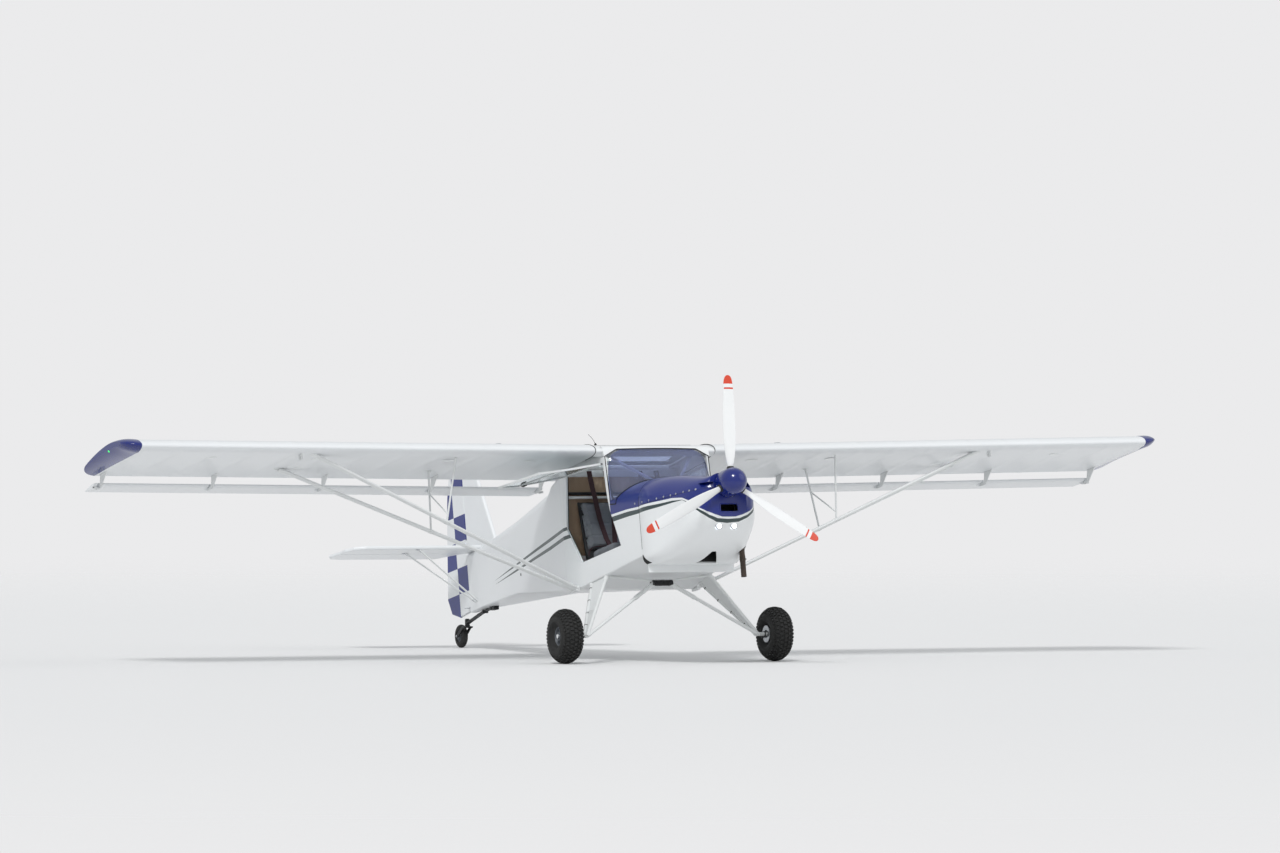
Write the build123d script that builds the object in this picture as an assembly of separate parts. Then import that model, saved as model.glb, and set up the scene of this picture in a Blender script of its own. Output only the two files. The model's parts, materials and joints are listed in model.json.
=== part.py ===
from build123d import *
import os
from math import asin, atan2, cos, degrees, hypot, pi, radians, sin, sqrt, tan

# A two-seat, strut-braced, high-wing microlight that stands on two main wheels and a tailwheel.
# Millimetres. Everything is drawn in airframe axes: X to port, Y aft, Z up, with the datum between
# the feet of the main gear and the fuselage datum line level. park() noses it up onto its tailwheel.

# Main wheels, gear and tailwheel
wheel_radius = 225
tyre_width = 200
rim_radius = 76
rim_width = 120
half_track = 948
main_axle_y = 45
main_axle_z = 9
axle_radius = 16
gear_foot_x = 774
gear_tube_radius = 15
tail_wheel_radius = 100
tail_tyre_width = 56
tail_axle_y = 4245
tail_axle_z = 698
swivel_lead = 127
swivel_height = 103

# Running gaps: pin joints, the gap round a moving leaf, and the wall of a closed surface
pin_gap = 0.3
leaf_gap = 6

# Fuselage: firewall, widest station behind the doors, keel kink and sternpost
firewall_y = -450
firewall_half_width = 425
cabin_rear_y = 800
cabin_rear_half_width = 545
firewall_keel_z = 584
keel_z = 492
keel_break_y = 650
kink_y = 2400
kink_z = 755
stern_y = 3940
stern_half_width = 30
stern_keel_z = 850
deck_z = 1355
waist_z = 1000
rail_z = 1455
wall = 18
skin = 8

# Cowling and propeller
cowl_front_y = -1262
cowl_split_z = 1000
lip_half_width = 385
lip_bottom_z = 447
lip_top_z = 512
lamp_x = 67
lamp_radius = 25
thrust_z = 1037
blade_plane_y = -1337
spinner_radius = 112
spinner_length = 222
spinner_skirt = 95
blade_radius = 885
blade_angle = 87
hub_bore_radius = 26

# Wing, flaperons and tips
wing_root_x = 540
wing_end_x = 4550
wing_chord = 1070
wing_nose_y = 49
wing_nose_z = 1546
wing_incidence = 3.15
wing_dihedral = 0.813
tip_reach = 140
flaperon_chord = 280
flaperon_inner_x = 556
flaperon_outer_x = 4530
flaperon_drop = 68
flaperon_hinge_aft = 62
flaperon_hinge_low = 24
hanger_count = 5
hanger_thickness = 6

# Struts
strut_chord = 62
strut_thickness = 28
strut_wing_x = 3060
jury_x = 1740
tie_down_x = 3125
tie_down_y = 165
tie_down_drop = 44
tie_down_hole = 10
tie_down_thickness = 8

# Tail surfaces
tail_thickness = 34
moving_tail_thickness = 30
tail_rim_share = 0.42
stab_z = 1372
stab_front_y = 3650
stab_half_span = 1215
elevator_hinge_y = 3912
rudder_hinge_y = 3963
fin_top_z = 2100
surface_gap = 8

# Seats
seat_x = 232
seat_half_width = 210

# Doors
door_open_angle = 80
door_thickness = 16
door_frame_width = 24
glass_thickness = 4


def face_on(plane, points):
    """Face with straight edges through points given in the plane's own axes."""
    return make_face(plane * Polyline(*points, close=True))


def slab(plane, points, depth):
    """Straight-edged outline raised off its plane by depth."""
    return extrude(face_on(plane, points), depth, dir=plane.z_dir)


def side_profile(points, x_from, x_to):
    """Solid from a (y, z) outline seen from the side, between two values of x."""
    return slab(Plane.YZ.offset(x_from), points, x_to - x_from)


def bar(start, end, radius):
    """Round bar or tube between two points."""
    start, end = Vector(*start), Vector(*end)
    return extrude(Plane(start, z_dir=end - start) * Circle(radius), (end - start).length)


def fairing(start, end, chord, thickness):
    """Streamlined strut between two points, its long axis fore and aft."""
    start, end = Vector(*start), Vector(*end)
    along = (end - start).normalized()
    aft = Vector(0, 1, 0)
    aft = aft - along * aft.dot(along)
    a, b = chord / 2, thickness / 2
    nose = b * 0.7
    # Corners of the oval: where the nose arcs meet the long flank arcs
    x = a - nose * 0.45
    y = nose * 0.86
    edges = [
        ThreePointArc((x, -y), (a, 0), (x, y)),
        ThreePointArc((x, y), (0, b), (-x, y)),
        ThreePointArc((-x, y), (-a, 0), (-x, -y)),
        ThreePointArc((-x, -y), (0, -b), (x, -y)),
    ]
    section = Plane(start, x_dir=aft, z_dir=along) * make_face(edges)
    return extrude(section, (end - start).length, dir=along)


def point_between(start, end, share):
    return tuple(a + (b - a) * share for a, b in zip(start, end))


def both_sides(solid):
    return [solid, mirror(solid, Plane.YZ)]


def box_between(low, high):
    size = [h - l for l, h in zip(low, high)]
    middle = [(h + l) / 2 for l, h in zip(low, high)]
    return Pos(*middle) * Box(*size)


def body_section(y, half_width, bottom, top, low_radius, high_radius, high_run=None):
    """Fuselage section at station y: lines and corner arcs, the upper ones elliptical where high_run is given."""
    w, lo, hi = half_width, low_radius, high_radius
    run = high_run or hi
    k = 1 - sqrt(0.5)
    if high_run:
        shoulder = EllipticalCenterArc((w - run, top - hi), run, hi, start_angle=0, arc_size=90)
        shoulders = [shoulder, mirror(shoulder, Plane.YZ)]
    else:
        shoulders = [
            ThreePointArc((w, top - hi), (w - hi * k, top - hi * k), (w - hi, top)),
            ThreePointArc((hi - w, top), (hi * k - w, top - hi * k), (-w, top - hi)),
        ]
    edges = [
        Line((lo - w, bottom), (w - lo, bottom)),
        ThreePointArc((w - lo, bottom), (w - lo * k, bottom + lo * k), (w, bottom + lo)),
        Line((w, bottom + lo), (w, top - hi)),
        shoulders[0],
        Line((w - run, top), (run - w, top)),
        shoulders[1],
        Line((-w, top - hi), (-w, bottom + lo)),
        ThreePointArc((-w, bottom + lo), (lo * k - w, bottom + lo * k), (lo - w, bottom)),
    ]
    plane = Plane((0, y, 0), x_dir=(1, 0, 0), z_dir=(0, -1, 0))
    return plane * make_face(edges)


def airfoil_edges(chord, thickness, camber=0.0, camber_at=0.4, stations=8):
    """Wing section from the four-digit formula: one curve round the nose, closed by a short tail."""
    upper, lower = [], []
    for i in range(stations + 1):
        c = (1 - cos(pi * i / stations)) / 2
        half = 5 * thickness * (0.2969 * sqrt(c) - 0.126 * c - 0.3516 * c**2 + 0.2843 * c**3 - 0.1015 * c**4)
        if c < camber_at:
            line = camber / camber_at**2 * (2 * camber_at * c - c * c)
        else:
            line = camber / (1 - camber_at) ** 2 * (1 - 2 * camber_at + 2 * camber_at * c - c * c)
        upper.append((c * chord, (line + half) * chord))
        lower.append((c * chord, (line - half) * chord))
    curve = Spline(*(upper[::-1] + lower[1:]))
    return [curve, Line(lower[-1], upper[-1])]


# Stance on the ground: the line that touches both wheels from below is level when parked.
axle_run = tail_axle_y - main_axle_y
axle_rise = tail_axle_z - main_axle_z
wheelbase = hypot(axle_run, axle_rise)
attitude = degrees(atan2(axle_rise, axle_run) + asin((wheel_radius - tail_wheel_radius) / wheelbase))
stand_height = wheel_radius - main_axle_z * cos(radians(attitude)) + main_axle_y * sin(radians(attitude))
ground_aft = Vector(0, cos(radians(attitude)), sin(radians(attitude)))

side_slope = (cabin_rear_half_width - firewall_half_width) / (cabin_rear_y - firewall_y)


def side_x(y):
    """Half width of the flat cabin side at station y."""
    return firewall_half_width + side_slope * (y - firewall_y)


# The cabin side as a plane: first axis aft along the wall, second up, normal outboard to port.
side_plane = Plane((firewall_half_width, firewall_y, 0), x_dir=(side_slope, 1, 0), z_dir=(1, -side_slope, 0))
side_stretch = sqrt(1 + side_slope**2)


def on_side(points):
    """(y, z) points as coordinates in the side plane."""
    return [((y - firewall_y) * side_stretch, z) for y, z in points]


def side_panel(points, depth_from, depth_to):
    """Panel lying in the port cabin side, between two depths inboard of its outer face."""
    return slab(side_plane.offset(-depth_to), on_side(points), depth_to - depth_from)


def inset(points, amount):
    """Closed outline moved inwards by amount, corner by corner, for points in clockwise order."""
    result = []
    for i, here in enumerate(points):
        back = Vector(*points[i - 1])
        ahead = Vector(*points[(i + 1) % len(points)])
        here = Vector(*here)
        d1, d2 = (here - back).normalized(), (ahead - here).normalized()
        n1, n2 = Vector(d1.Y, -d1.X), Vector(d2.Y, -d2.X)
        bisector = (n1 + n2).normalized()
        move = here + bisector * (amount / bisector.dot(n1))
        result.append((move.X, move.Y))
    return result


def keel_at(y):
    """Height of the fuselage's underside at station y."""
    if y < keel_break_y:
        return firewall_keel_z + (keel_z - firewall_keel_z) * (y - firewall_y) / (keel_break_y - firewall_y)
    return keel_z + (kink_z - keel_z) * (y - keel_break_y) / (kink_y - keel_break_y)


def scuttle_form(inward):
    """Rounded form in front of the windscreen, from the firewall to the doors."""
    # Columns: station, top, height and width of the elliptical shoulder
    stations = [(firewall_y, 1228, 200, 200), (60, 1290, 190, 400)]
    return loft(
        [
            body_section(y, side_x(y) - inward, 600, top - inward, 30, drop - inward, run - inward)
            for y, top, drop, run in stations
        ],
        ruled=True,
    )


def cowl_form(inward):
    """Smooth engine cowl; with inward it is the space inside a wall of that thickness."""
    # Columns: station, half width, bottom, top, lower corner radius, upper corner radius
    table = [
        (cowl_front_y + inward, 160, 792, 1125, 70, 90),
        (-1200, 245, 722, 1114, 110, 150),
        (-1000, 322, 606, 1145, 140, 180),
        (-720, 386, 520, 1198, 120, 195),
        (firewall_y, 425, 508, 1228, 66, 200),
    ]
    sections = [
        body_section(y, w - inward, low + inward, high - inward, r1 - inward, r2 - inward)
        for y, w, low, high, r1, r2 in table
    ]
    return loft(sections)


def screen_form(inward):
    """Wedge whose front is the curved windscreen; its arcs open out towards the wing."""
    faces = []
    # Columns: height, centre of the screen, foot of the side post
    for z, centre_y, post_y in [(1120, -426, 27), (1620, 72, 78)]:
        half = side_x(post_y) - inward - 0.5
        arc = ThreePointArc((-half, post_y), (0, centre_y + inward), (half, post_y))
        plane = Plane.XY.offset(z)
        faces.append(plane * make_face([arc, Polyline((half, post_y), (half, 300), (-half, 300), (-half, post_y))]))
    return loft(faces, ruled=True)


# Door opening, seen from the side, clockwise from its upper front corner
door_outline = [
    (78, rail_z),
    (690, rail_z),
    (744, 1019),
    (530, 701),
    (-115, 731),
    (15, 1034),
    (47, 1171),
]


def build_cabin_tub():
    """Floor, firewall, side walls with their door openings, side posts and rear bulkhead."""
    stations = [firewall_y, keel_break_y, cabin_rear_y]
    outer = loft([body_section(y, side_x(y), keel_at(y), 1690, 12, 2) for y in stations], ruled=True)
    rows = [(firewall_y + wall, 0), (keel_break_y, 0), (cabin_rear_y - wall, 0)]
    inner = loft(
        [body_section(y, side_x(y) - wall, keel_at(y) + wall, 1800, 4, 2) for y, _ in rows], ruled=True
    )
    below_roof = box_between((-700, -600, 400), (700, 900, 1500)) + centre_wing().translate((0, 0, -skin - pin_gap))
    tub = (outer - inner) & below_roof
    for opening in both_sides(side_panel(door_outline, -200, 200)):
        tub -= opening
    bulkhead = box_between((-600, firewall_y, waist_z - 30), (600, firewall_y + wall, 1400))
    firewall = scuttle_form(skin + pin_gap) & bulkhead
    # In front of the side posts the scuttle skin and the windscreen take over.
    ahead = [(firewall_y - 50, waist_z), (firewall_y - 50, 1700), (47, 1700), (40, 1498), (10, 1171)]
    ahead += [(-25, waist_z)]
    return (tub - side_profile(ahead, -700, 700)) + firewall


def build_boot_cowl():
    shell = scuttle_form(0) - scuttle_form(skin)
    ahead = [(firewall_y, waist_z), (firewall_y, 1400), (-18, 1400), (9.7, 1171), (-25.3, waist_z)]
    shell = shell & side_profile(ahead, -700, 700)
    return shell - screen_form(7)


def build_windscreen(scuttle, roof):
    sheet = screen_form(0) - screen_form(5)
    front = [(-600, waist_z), (-25.3, waist_z), (9.7, 1171), (39.7, 1498), (39.7, 1560)]
    front += [(-600, 1560)]
    sheet = sheet & side_profile(front, -520, 520)
    cut = slab(Plane.XZ.offset(-300), [(360, 1560), (520, 1560), (520, 1473)], 900)
    for piece in both_sides(cut):
        sheet -= piece
    return sheet - scuttle - roof


def build_cowls():
    outer = cowl_form(0)
    inner = cowl_form(skin)
    shell = outer - inner
    shaft_hole = bar((0, cowl_front_y - 50, thrust_z), (0, cowl_front_y + 60, thrust_z), 62)
    chin_inlet = box_between((-78, cowl_front_y - 60, 808), (78, cowl_front_y + 120, 870))
    shell = shell - shaft_hole - chin_inlet
    for cheek in both_sides(box_between((120, -1300, 1008), (220, -1185, 1054))):
        shell -= cheek
    outlet = slab(Plane.XY, [(10, -850), (52, -850), (184, -556), (-12, -565)], 640)
    exhaust_slot = bar((300, -810, 400), (300, -810, 700), 36)
    lower_cut = box_between((-900, -1400, 300), (900, 0, cowl_split_z - 0.15))
    upper_cut = box_between((-900, -1400, cowl_split_z + 0.15), (900, 0, 1400))
    # The rear edge ends in a flat lip that hangs down into the air
    lip = box_between((-lip_half_width, firewall_y - 10, lip_bottom_z), (lip_half_width, firewall_y - 2, lip_top_z))
    lower = (shell & lower_cut) - outlet - exhaust_slot + lip
    return shell & upper_cut, lower


def wing_section(x, shrink=1.0, aft=0.0, up=0.0, thickness=0.125, camber=0.04):
    """Wing section at span station x, in place, with its chord set at the wing's incidence."""
    chord = wing_chord * shrink
    origin = Vector(x, wing_nose_y + aft, wing_nose_z + abs(x) * tan(radians(wing_dihedral)) + up)
    slope = radians(wing_incidence)
    plane = Plane(origin, x_dir=(0, cos(slope), -sin(slope)), z_dir=(1, 0, 0))
    return plane * make_face(airfoil_edges(chord, thickness, camber))


span_direction = Vector(1, 0, tan(radians(wing_dihedral))).normalized()
wing_length = (wing_end_x - wing_root_x) / span_direction.X


def build_wing():
    wing = extrude(wing_section(wing_root_x), wing_length, dir=span_direction)
    filler = bar((1270, 370, 1500), (1270, 370, wing_nose_z + 125), 38)
    return wing + (filler - box_between((1200, 300, 1000), (1340, 440, 1600)))


def build_wing_tip():
    rows = [(0, 1.0, 0, 0, 0.125), (0.6, 0.95, 24, 14, 0.11), (1.0, 0.74, 115, 34, 0.06)]
    return loft(
        [wing_section(wing_end_x + 0.15 + tip_reach * s, k, aft, up, t) for s, k, aft, up, t in rows]
    )


def centre_wing():
    """The wing's section carried straight across the cabin."""
    width = 2 * (wing_root_x - pin_gap)
    return extrude(wing_section(0).translate((-width / 2, 0, 0)), width)


def build_roof():
    """Centre section between the wing roots: an airfoil skin, open below, with a clear panel in it."""
    block = centre_wing()
    band = box_between((-600, 110, 1300), (600, 1000, 1800))
    hollow = (block.translate((0, 0, -skin)) & band) + (block & box_between((-600, 110, 1300), (600, 1000, 1500)))
    skin_shape = block - hollow
    window = box_between((-430, 260, 1300), (430, 760, 1800))
    return skin_shape - window, skin_shape & box_between((-429.8, 260.2, 1300), (429.8, 759.8, 1800))


def build_rear_fuselage():
    """Fabric-covered rear fuselage: flat sides tapering to the sternpost, kinked keel."""

    def width_at(y):
        share = (y - cabin_rear_y) / (stern_y - cabin_rear_y)
        return cabin_rear_half_width + (stern_half_width - cabin_rear_half_width) * share

    # Columns: station, keel, deck, deck corner radius
    table = [
        (cabin_rear_y + pin_gap, keel_at(cabin_rear_y), 1495, 60),
        (1110, keel_at(1110), 1473, 80),
        (1250, keel_at(1250), 1434, 110),
        (kink_y, kink_z, 1385, 100),
        (3560, 838, deck_z, 60),
        (stern_y, stern_keel_z, deck_z, 22),
    ]
    return loft([body_section(y, width_at(y), low, high, 12, r) for y, low, high, r in table], ruled=True)


def tail_plate(points, plane, hinge_side, thickness):
    """Flat tail surface from its outline, its rim rounded except at the hinge side and the middle plane."""
    plate = slab(plane.offset(-thickness / 2), points, thickness)
    rim = []
    for edge in plate.edges():
        middle = edge.center()
        across = abs((edge.position_at(1) - edge.position_at(0)).dot(plane.z_dir)) > 1
        if not across and abs(middle.Y - hinge_side) > 1 and abs(middle.X) > 1:
            rim.append(edge)
    return fillet(rim, thickness * tail_rim_share)


fin_points = [(3330, deck_z - 30), (stern_y, deck_z - 30), (stern_y, fin_top_z), (3712, fin_top_z)]
rudder_points = [
    (rudder_hinge_y, 868),
    (4216, 852),
    (4375, 905),
    (4444, 1040),
    (4336, 1720),
    (4296, 1910),
    (4240, 2060),
    (4120, 2125),
    (rudder_hinge_y, 2125),
]
stab_rear_y = elevator_hinge_y - 15 - surface_gap
stab_points = [(0, stab_front_y), (1080, 3658), (1175, 3700), (stab_half_span, 3800)]
stab_points += [(stab_half_span, stab_rear_y), (0, stab_rear_y)]
rudder_lugs = [940, 1480, 2020]
elevator_lugs = [260, 860]
lug_length = 12


def rudder_lug(z):
    """Hinge tongue that reaches aft from the sternpost into a slot of the rudder."""
    tongue = box_between((-6, stern_y - 40, z), (6, rudder_hinge_y, z + lug_length))
    return tongue + bar((0, rudder_hinge_y, z), (0, rudder_hinge_y, z + lug_length), 6)


def build_fin(stab, tail_cone):
    fin = tail_plate(fin_points, Plane.YZ, stern_y, tail_thickness)
    for z in rudder_lugs[1:]:
        fin += rudder_lug(z)
    tube_hole = bar((-60, elevator_hinge_y, stab_z), (60, elevator_hinge_y, stab_z), 19)
    return fin - tube_hole - stab - tail_cone


def build_rudder():
    rudder = tail_plate(rudder_points, Plane.YZ, rudder_hinge_y, moving_tail_thickness)
    rudder += bar((0, rudder_hinge_y, 868), (0, rudder_hinge_y, 2125), 15)
    for z in rudder_lugs:
        low, high = z - pin_gap, z + lug_length + pin_gap
        rudder -= box_between((-20, rudder_hinge_y - 20, low), (20, rudder_hinge_y + 16, high))
    return rudder


def build_stabiliser():
    half = tail_plate(stab_points, Plane.XY.offset(stab_z), stab_rear_y, tail_thickness)
    for x in elevator_lugs:
        half += box_between((x, elevator_hinge_y - 60, stab_z - 6), (x + lug_length, elevator_hinge_y, stab_z + 6))
        half += bar((x, elevator_hinge_y, stab_z), (x + lug_length, elevator_hinge_y, stab_z), 6)
    return half + mirror(half, Plane.YZ)


def build_elevator():
    points = [(60, elevator_hinge_y), (stab_half_span, elevator_hinge_y), (1250, 4080), (1215, 4150), (1120, 4178)]
    points += [(215, 4190)]
    half = tail_plate(points, Plane.XY.offset(stab_z), elevator_hinge_y, moving_tail_thickness)
    half += bar((0, elevator_hinge_y, stab_z), (stab_half_span, elevator_hinge_y, stab_z), 13)
    for x in elevator_lugs:
        low, high = x - pin_gap, x + lug_length + pin_gap
        half -= box_between((low, elevator_hinge_y - 20, 1300), (high, elevator_hinge_y + 16, 1450))
    return half + mirror(half, Plane.YZ)


# Flaperon section and hinge at the wing's centre line; both climb outboard with the dihedral.
wing_tail_y = wing_nose_y + wing_chord * cos(radians(wing_incidence))
wing_tail_z = wing_nose_z - wing_chord * sin(radians(wing_incidence))
flaperon_nose_y = wing_tail_y + 6
flaperon_nose_z = wing_tail_z - flaperon_drop
flaperon_hinge_y = flaperon_nose_y + flaperon_hinge_aft
flaperon_hinge_z = flaperon_nose_z - flaperon_hinge_low
hanger_xs = [600 + i * 978 for i in range(hanger_count)]


def rise_at(x):
    return abs(x) * tan(radians(wing_dihedral))


def build_flaperon():
    slope = radians(wing_incidence)
    start = Vector(flaperon_inner_x, flaperon_nose_y, flaperon_nose_z + rise_at(flaperon_inner_x))
    plane = Plane(start, x_dir=(0, cos(slope), -sin(slope)), z_dir=(1, 0, 0))
    length = (flaperon_outer_x - flaperon_inner_x) / span_direction.X
    panel = extrude(plane * make_face(airfoil_edges(flaperon_chord, 0.125, 0.02)), length, dir=span_direction)
    for x in hanger_xs:
        low, high = x - hanger_thickness / 2 - leaf_gap, x + hanger_thickness / 2 + leaf_gap
        z = rise_at(x)
        panel -= box_between((low, flaperon_nose_y - 20, 1300), (high, flaperon_hinge_y + 22, 1600))
        near, far = x - hanger_thickness / 2 - pin_gap, x + hanger_thickness / 2 + pin_gap
        for inner, outer in [(low - 5, near), (far, high + 5)]:
            lug = [
                (flaperon_hinge_y - 14, flaperon_hinge_z + z - 12),
                (flaperon_hinge_y + 70, flaperon_hinge_z + z + 16),
                (flaperon_hinge_y + 70, flaperon_hinge_z + z + 24),
                (flaperon_hinge_y - 14, flaperon_hinge_z + z + 14),
            ]
            panel += side_profile(lug, inner, outer)
    return panel


def build_hangers(wing):
    """Flat arms under the wing's rear edge, each carrying one flaperon hinge."""
    arms = []
    for x in hanger_xs:
        z = rise_at(x)
        arm = [
            (wing_tail_y - 190, wing_tail_z + z + 190 * tan(radians(wing_incidence))),
            (wing_tail_y - 40, wing_tail_z + z + 40 * tan(radians(wing_incidence))),
            (flaperon_nose_y - 20, flaperon_hinge_z + z + 8),
            (flaperon_hinge_y + 10, flaperon_hinge_z + z + 8),
            (flaperon_hinge_y + 10, flaperon_hinge_z + z - 10),
            (flaperon_nose_y - 45, flaperon_hinge_z + z - 14),
        ]
        arms.append(side_profile(arm, x - hanger_thickness / 2, x + hanger_thickness / 2) - wing)
    return arms


# Lift struts: one fitting low on the fuselage, two points under each wing
strut_foot_y = 642


def wing_under(x, y):
    """A point just inside the wing's lower skin."""
    return wing_nose_z + rise_at(x) - (y - wing_nose_y) * tan(radians(wing_incidence)) - 10


strut_lines = {
    "front": ((side_x(615) + 20, 615, keel_at(615) + 2), (strut_wing_x, 165, wing_under(strut_wing_x, 165))),
    "rear": ((side_x(670) + 20, 670, keel_at(670) + 2), (strut_wing_x, 790, wing_under(strut_wing_x, 790))),
}


def build_lift_struts(wing, tub):
    front, rear = [fairing(*strut_lines[k], strut_chord, strut_thickness) for k in ("front", "rear")]
    bracket = side_profile(
        [(590, keel_z - 14), (700, keel_z - 14), (700, keel_z + 26), (590, keel_z + 26)],
        side_x(642) + 4,
        side_x(642) + 34,
    )
    return [front - wing - tub, rear - wing - tub - front], bracket - tub - front - rear


def build_tie_down(wing):
    """Ring plate under the wing beside the front strut, for the mooring rope."""
    x = tie_down_x
    z = wing_under(x, tie_down_y) - tie_down_drop
    outline = [(tie_down_y - 42, z + 46), (tie_down_y + 42, z + 46)]
    outline += [(tie_down_y + 20, z - 20), (tie_down_y - 20, z - 20)]
    plate = side_profile(outline, x - tie_down_thickness / 2, x + tie_down_thickness / 2)
    return plate - bar((x - 20, tie_down_y, z), (x + 20, tie_down_y, z), tie_down_hole) - wing


def strut_point(which, x):
    start, end = strut_lines[which]
    return point_between(start, end, (x - start[0]) / (end[0] - start[0]))


def build_jury_struts(wing, struts):
    low_front, low_rear = strut_point("front", jury_x + 30), strut_point("rear", jury_x + 30)
    high_front = (jury_x - 20, 215, wing_under(jury_x, 215))
    high_rear = (jury_x - 20, 800, wing_under(jury_x, 800))
    middle = point_between(low_rear, high_rear, 0.62)
    pieces = [bar(low_front, high_front, 8), bar(low_rear, high_rear, 8)]
    tie = bar(point_between(low_front, high_front, 0.12), middle, 6)
    joined = pieces[0] + pieces[1] + tie
    return joined - wing - struts[0] - struts[1]


# Landing gear, port side
gear_front_top = (side_x(190) - 24, 190, keel_at(190) + 6)
gear_rear_top = (side_x(440) - 24, 440, keel_at(440) + 6)
gear_foot = (gear_foot_x, 0, 0)
bungee_y = 135
bungee_z = 458
bungee_half = 78


def build_gear_leg(tub):
    axle_root = (gear_foot_x, main_axle_y, main_axle_z)
    leg = bar(gear_front_top, gear_foot, gear_tube_radius) + bar(gear_rear_top, axle_root, gear_tube_radius)
    leg += bar(gear_foot, axle_root, gear_tube_radius)
    front_way = Vector(*gear_front_top) - Vector(*gear_foot)
    rear_way = Vector(*gear_rear_top) - Vector(*gear_foot)
    web_plane = Plane(gear_foot, x_dir=front_way, z_dir=rear_way.cross(front_way))
    corners = [web_plane.to_local_coords(Vector(*p)) for p in (gear_foot, gear_front_top, gear_rear_top)]
    web = slab(web_plane.offset(-4), [(p.X, p.Y) for p in corners], 8)
    axle_end = (half_track + rim_width / 2 + 12, main_axle_y, main_axle_z)
    axle = bar((gear_foot_x - 12, main_axle_y, main_axle_z), axle_end, axle_radius)
    return leg + web + axle - tub


def build_shock_strut(leg, cabane):
    foot = (gear_foot_x - 10, 0, 6)
    head = (bungee_half - 10, bungee_y, bungee_z)
    return bar(foot, head, 14) + bar(point_between(foot, head, 0.72), head, 18) - leg - cabane


def build_cabane_block():
    low, high = (-bungee_half, bungee_y - 45, bungee_z - 32), (bungee_half, bungee_y + 45, bungee_z + 32)
    block = box_between(low, high)
    block = fillet(block.edges().filter_by(Axis.X), 18)
    return block


def build_cabane_tubes(tub, block, legs):
    tubes = []
    for sign in (1, -1):
        start = (sign * (bungee_half - 12), bungee_y, bungee_z + 16)
        end = (sign * (gear_front_top[0] - 8), gear_front_top[1], gear_front_top[2] - 12)
        tubes.append(bar(start, end, 11))
    joined = block + tubes[0] + tubes[1] - tub
    for leg in legs:
        joined -= leg
    return joined


def wheel_profile(radius, width, bead):
    """Half section of a tyre in (x, radius) from bead to bead over a round crown."""
    w = width / 2
    shoulder = radius - w * 0.62
    return [
        Line((-w * 0.62, bead), (w * 0.62, bead)),
        ThreePointArc((w * 0.62, bead), (w, (bead + shoulder) / 2 + 6), (w * 0.88, shoulder)),
        ThreePointArc((w * 0.88, shoulder), (0, radius), (-w * 0.88, shoulder)),
        ThreePointArc((-w * 0.88, shoulder), (-w, (bead + shoulder) / 2 + 6), (-w * 0.62, bead)),
    ]


def build_tyre(x):
    section = Plane.XY.offset(0) * make_face(wheel_profile(wheel_radius, tyre_width, rim_radius + pin_gap))
    return Pos(x, main_axle_y, main_axle_z) * revolve(section, Axis.X)


def build_wheel(x):
    w = rim_width / 2
    profile = [
        (-w, axle_radius + pin_gap),
        (w, axle_radius + pin_gap),
        (w, 34),
        (w * 0.55, 40),
        (w * 0.55, 62),
        (w, 66),
        (w, rim_radius),
        (-w, rim_radius),
        (-w, 66),
        (-w * 0.55, 62),
        (-w * 0.55, 40),
        (-w, 34),
    ]
    return Pos(x, main_axle_y, main_axle_z) * revolve(face_on(Plane.XY, profile), Axis.X)


# Tailwheel: axes level with the ground, through the tail axle
tail_plane = Plane((0, tail_axle_y, tail_axle_z), x_dir=ground_aft, z_dir=(1, 0, 0))


def tail_point(aft, up, x=0):
    here = tail_plane.from_local_coords(Vector(aft, up, x))
    return (here.X, here.Y, here.Z)


def build_tail_spring(tail_cone):
    end = tail_point(-swivel_lead, swivel_height)
    y1, z1 = end[1], end[2]
    line = [(3480, 815), (3640, 828), (3800, 818), (y1 - 18, z1 + 10)]
    leaf = [(y, z + 6) for y, z in line] + [(y, z - 6) for y, z in reversed(line)]
    spring = side_profile(leaf, -20, 20)
    housing = bar(tail_point(-swivel_lead, swivel_height - 14), tail_point(-swivel_lead, swivel_height + 36), 21)
    pad = side_profile([(3470, 800), (3560, 806), (3560, 860), (3470, 852)], -24, 24)
    bore = bar(tail_point(-swivel_lead, swivel_height - 60), tail_point(-swivel_lead, swivel_height + 26), 9)
    return spring + housing + pad - bore - tail_cone


def build_tail_fork():
    stem = bar(tail_point(-swivel_lead, swivel_height - 30), tail_point(-swivel_lead, swivel_height + 20), 9 - pin_gap)
    inner = tail_tyre_width / 2 + 6
    arm = [(-12, -12), (12, -12), (12, 12), (-swivel_lead + 34, swivel_height - 15)]
    arm += [(-swivel_lead - 26, swivel_height - 15), (-swivel_lead - 26, swivel_height - 27)]
    arm += [(-swivel_lead + 6, swivel_height - 32)]
    plate = slab(tail_plane.offset(inner), arm, 6)
    crown_top = swivel_height - 15 - pin_gap
    crown_points = [(-swivel_lead - 26, crown_top), (-swivel_lead + 22, crown_top)]
    crown_points += [(-swivel_lead + 22, swivel_height - 27), (-swivel_lead - 26, swivel_height - 27)]
    crown = slab(tail_plane.offset(-inner - 6), crown_points, 2 * inner + 12)
    axle = extrude(tail_plane.offset(-inner - 10) * Circle(8), 2 * inner + 20)
    return stem + plate + mirror(plate, Plane.YZ) + crown + axle


def build_tail_wheel():
    section = make_face(wheel_profile(tail_wheel_radius, tail_tyre_width, 48))
    tyre = revolve(section, Axis.X)
    w = tail_tyre_width / 2
    profile = [(4 - w, 8 + pin_gap), (w - 4, 8 + pin_gap), (w - 4, 18), (8, 24), (8, 52), (-8, 52)]
    profile += [(-8, 24), (4 - w, 18)]
    hub = revolve(face_on(Plane.XY, profile), Axis.X)
    return Pos(0, tail_axle_y, tail_axle_z) * (tyre + hub)


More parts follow.
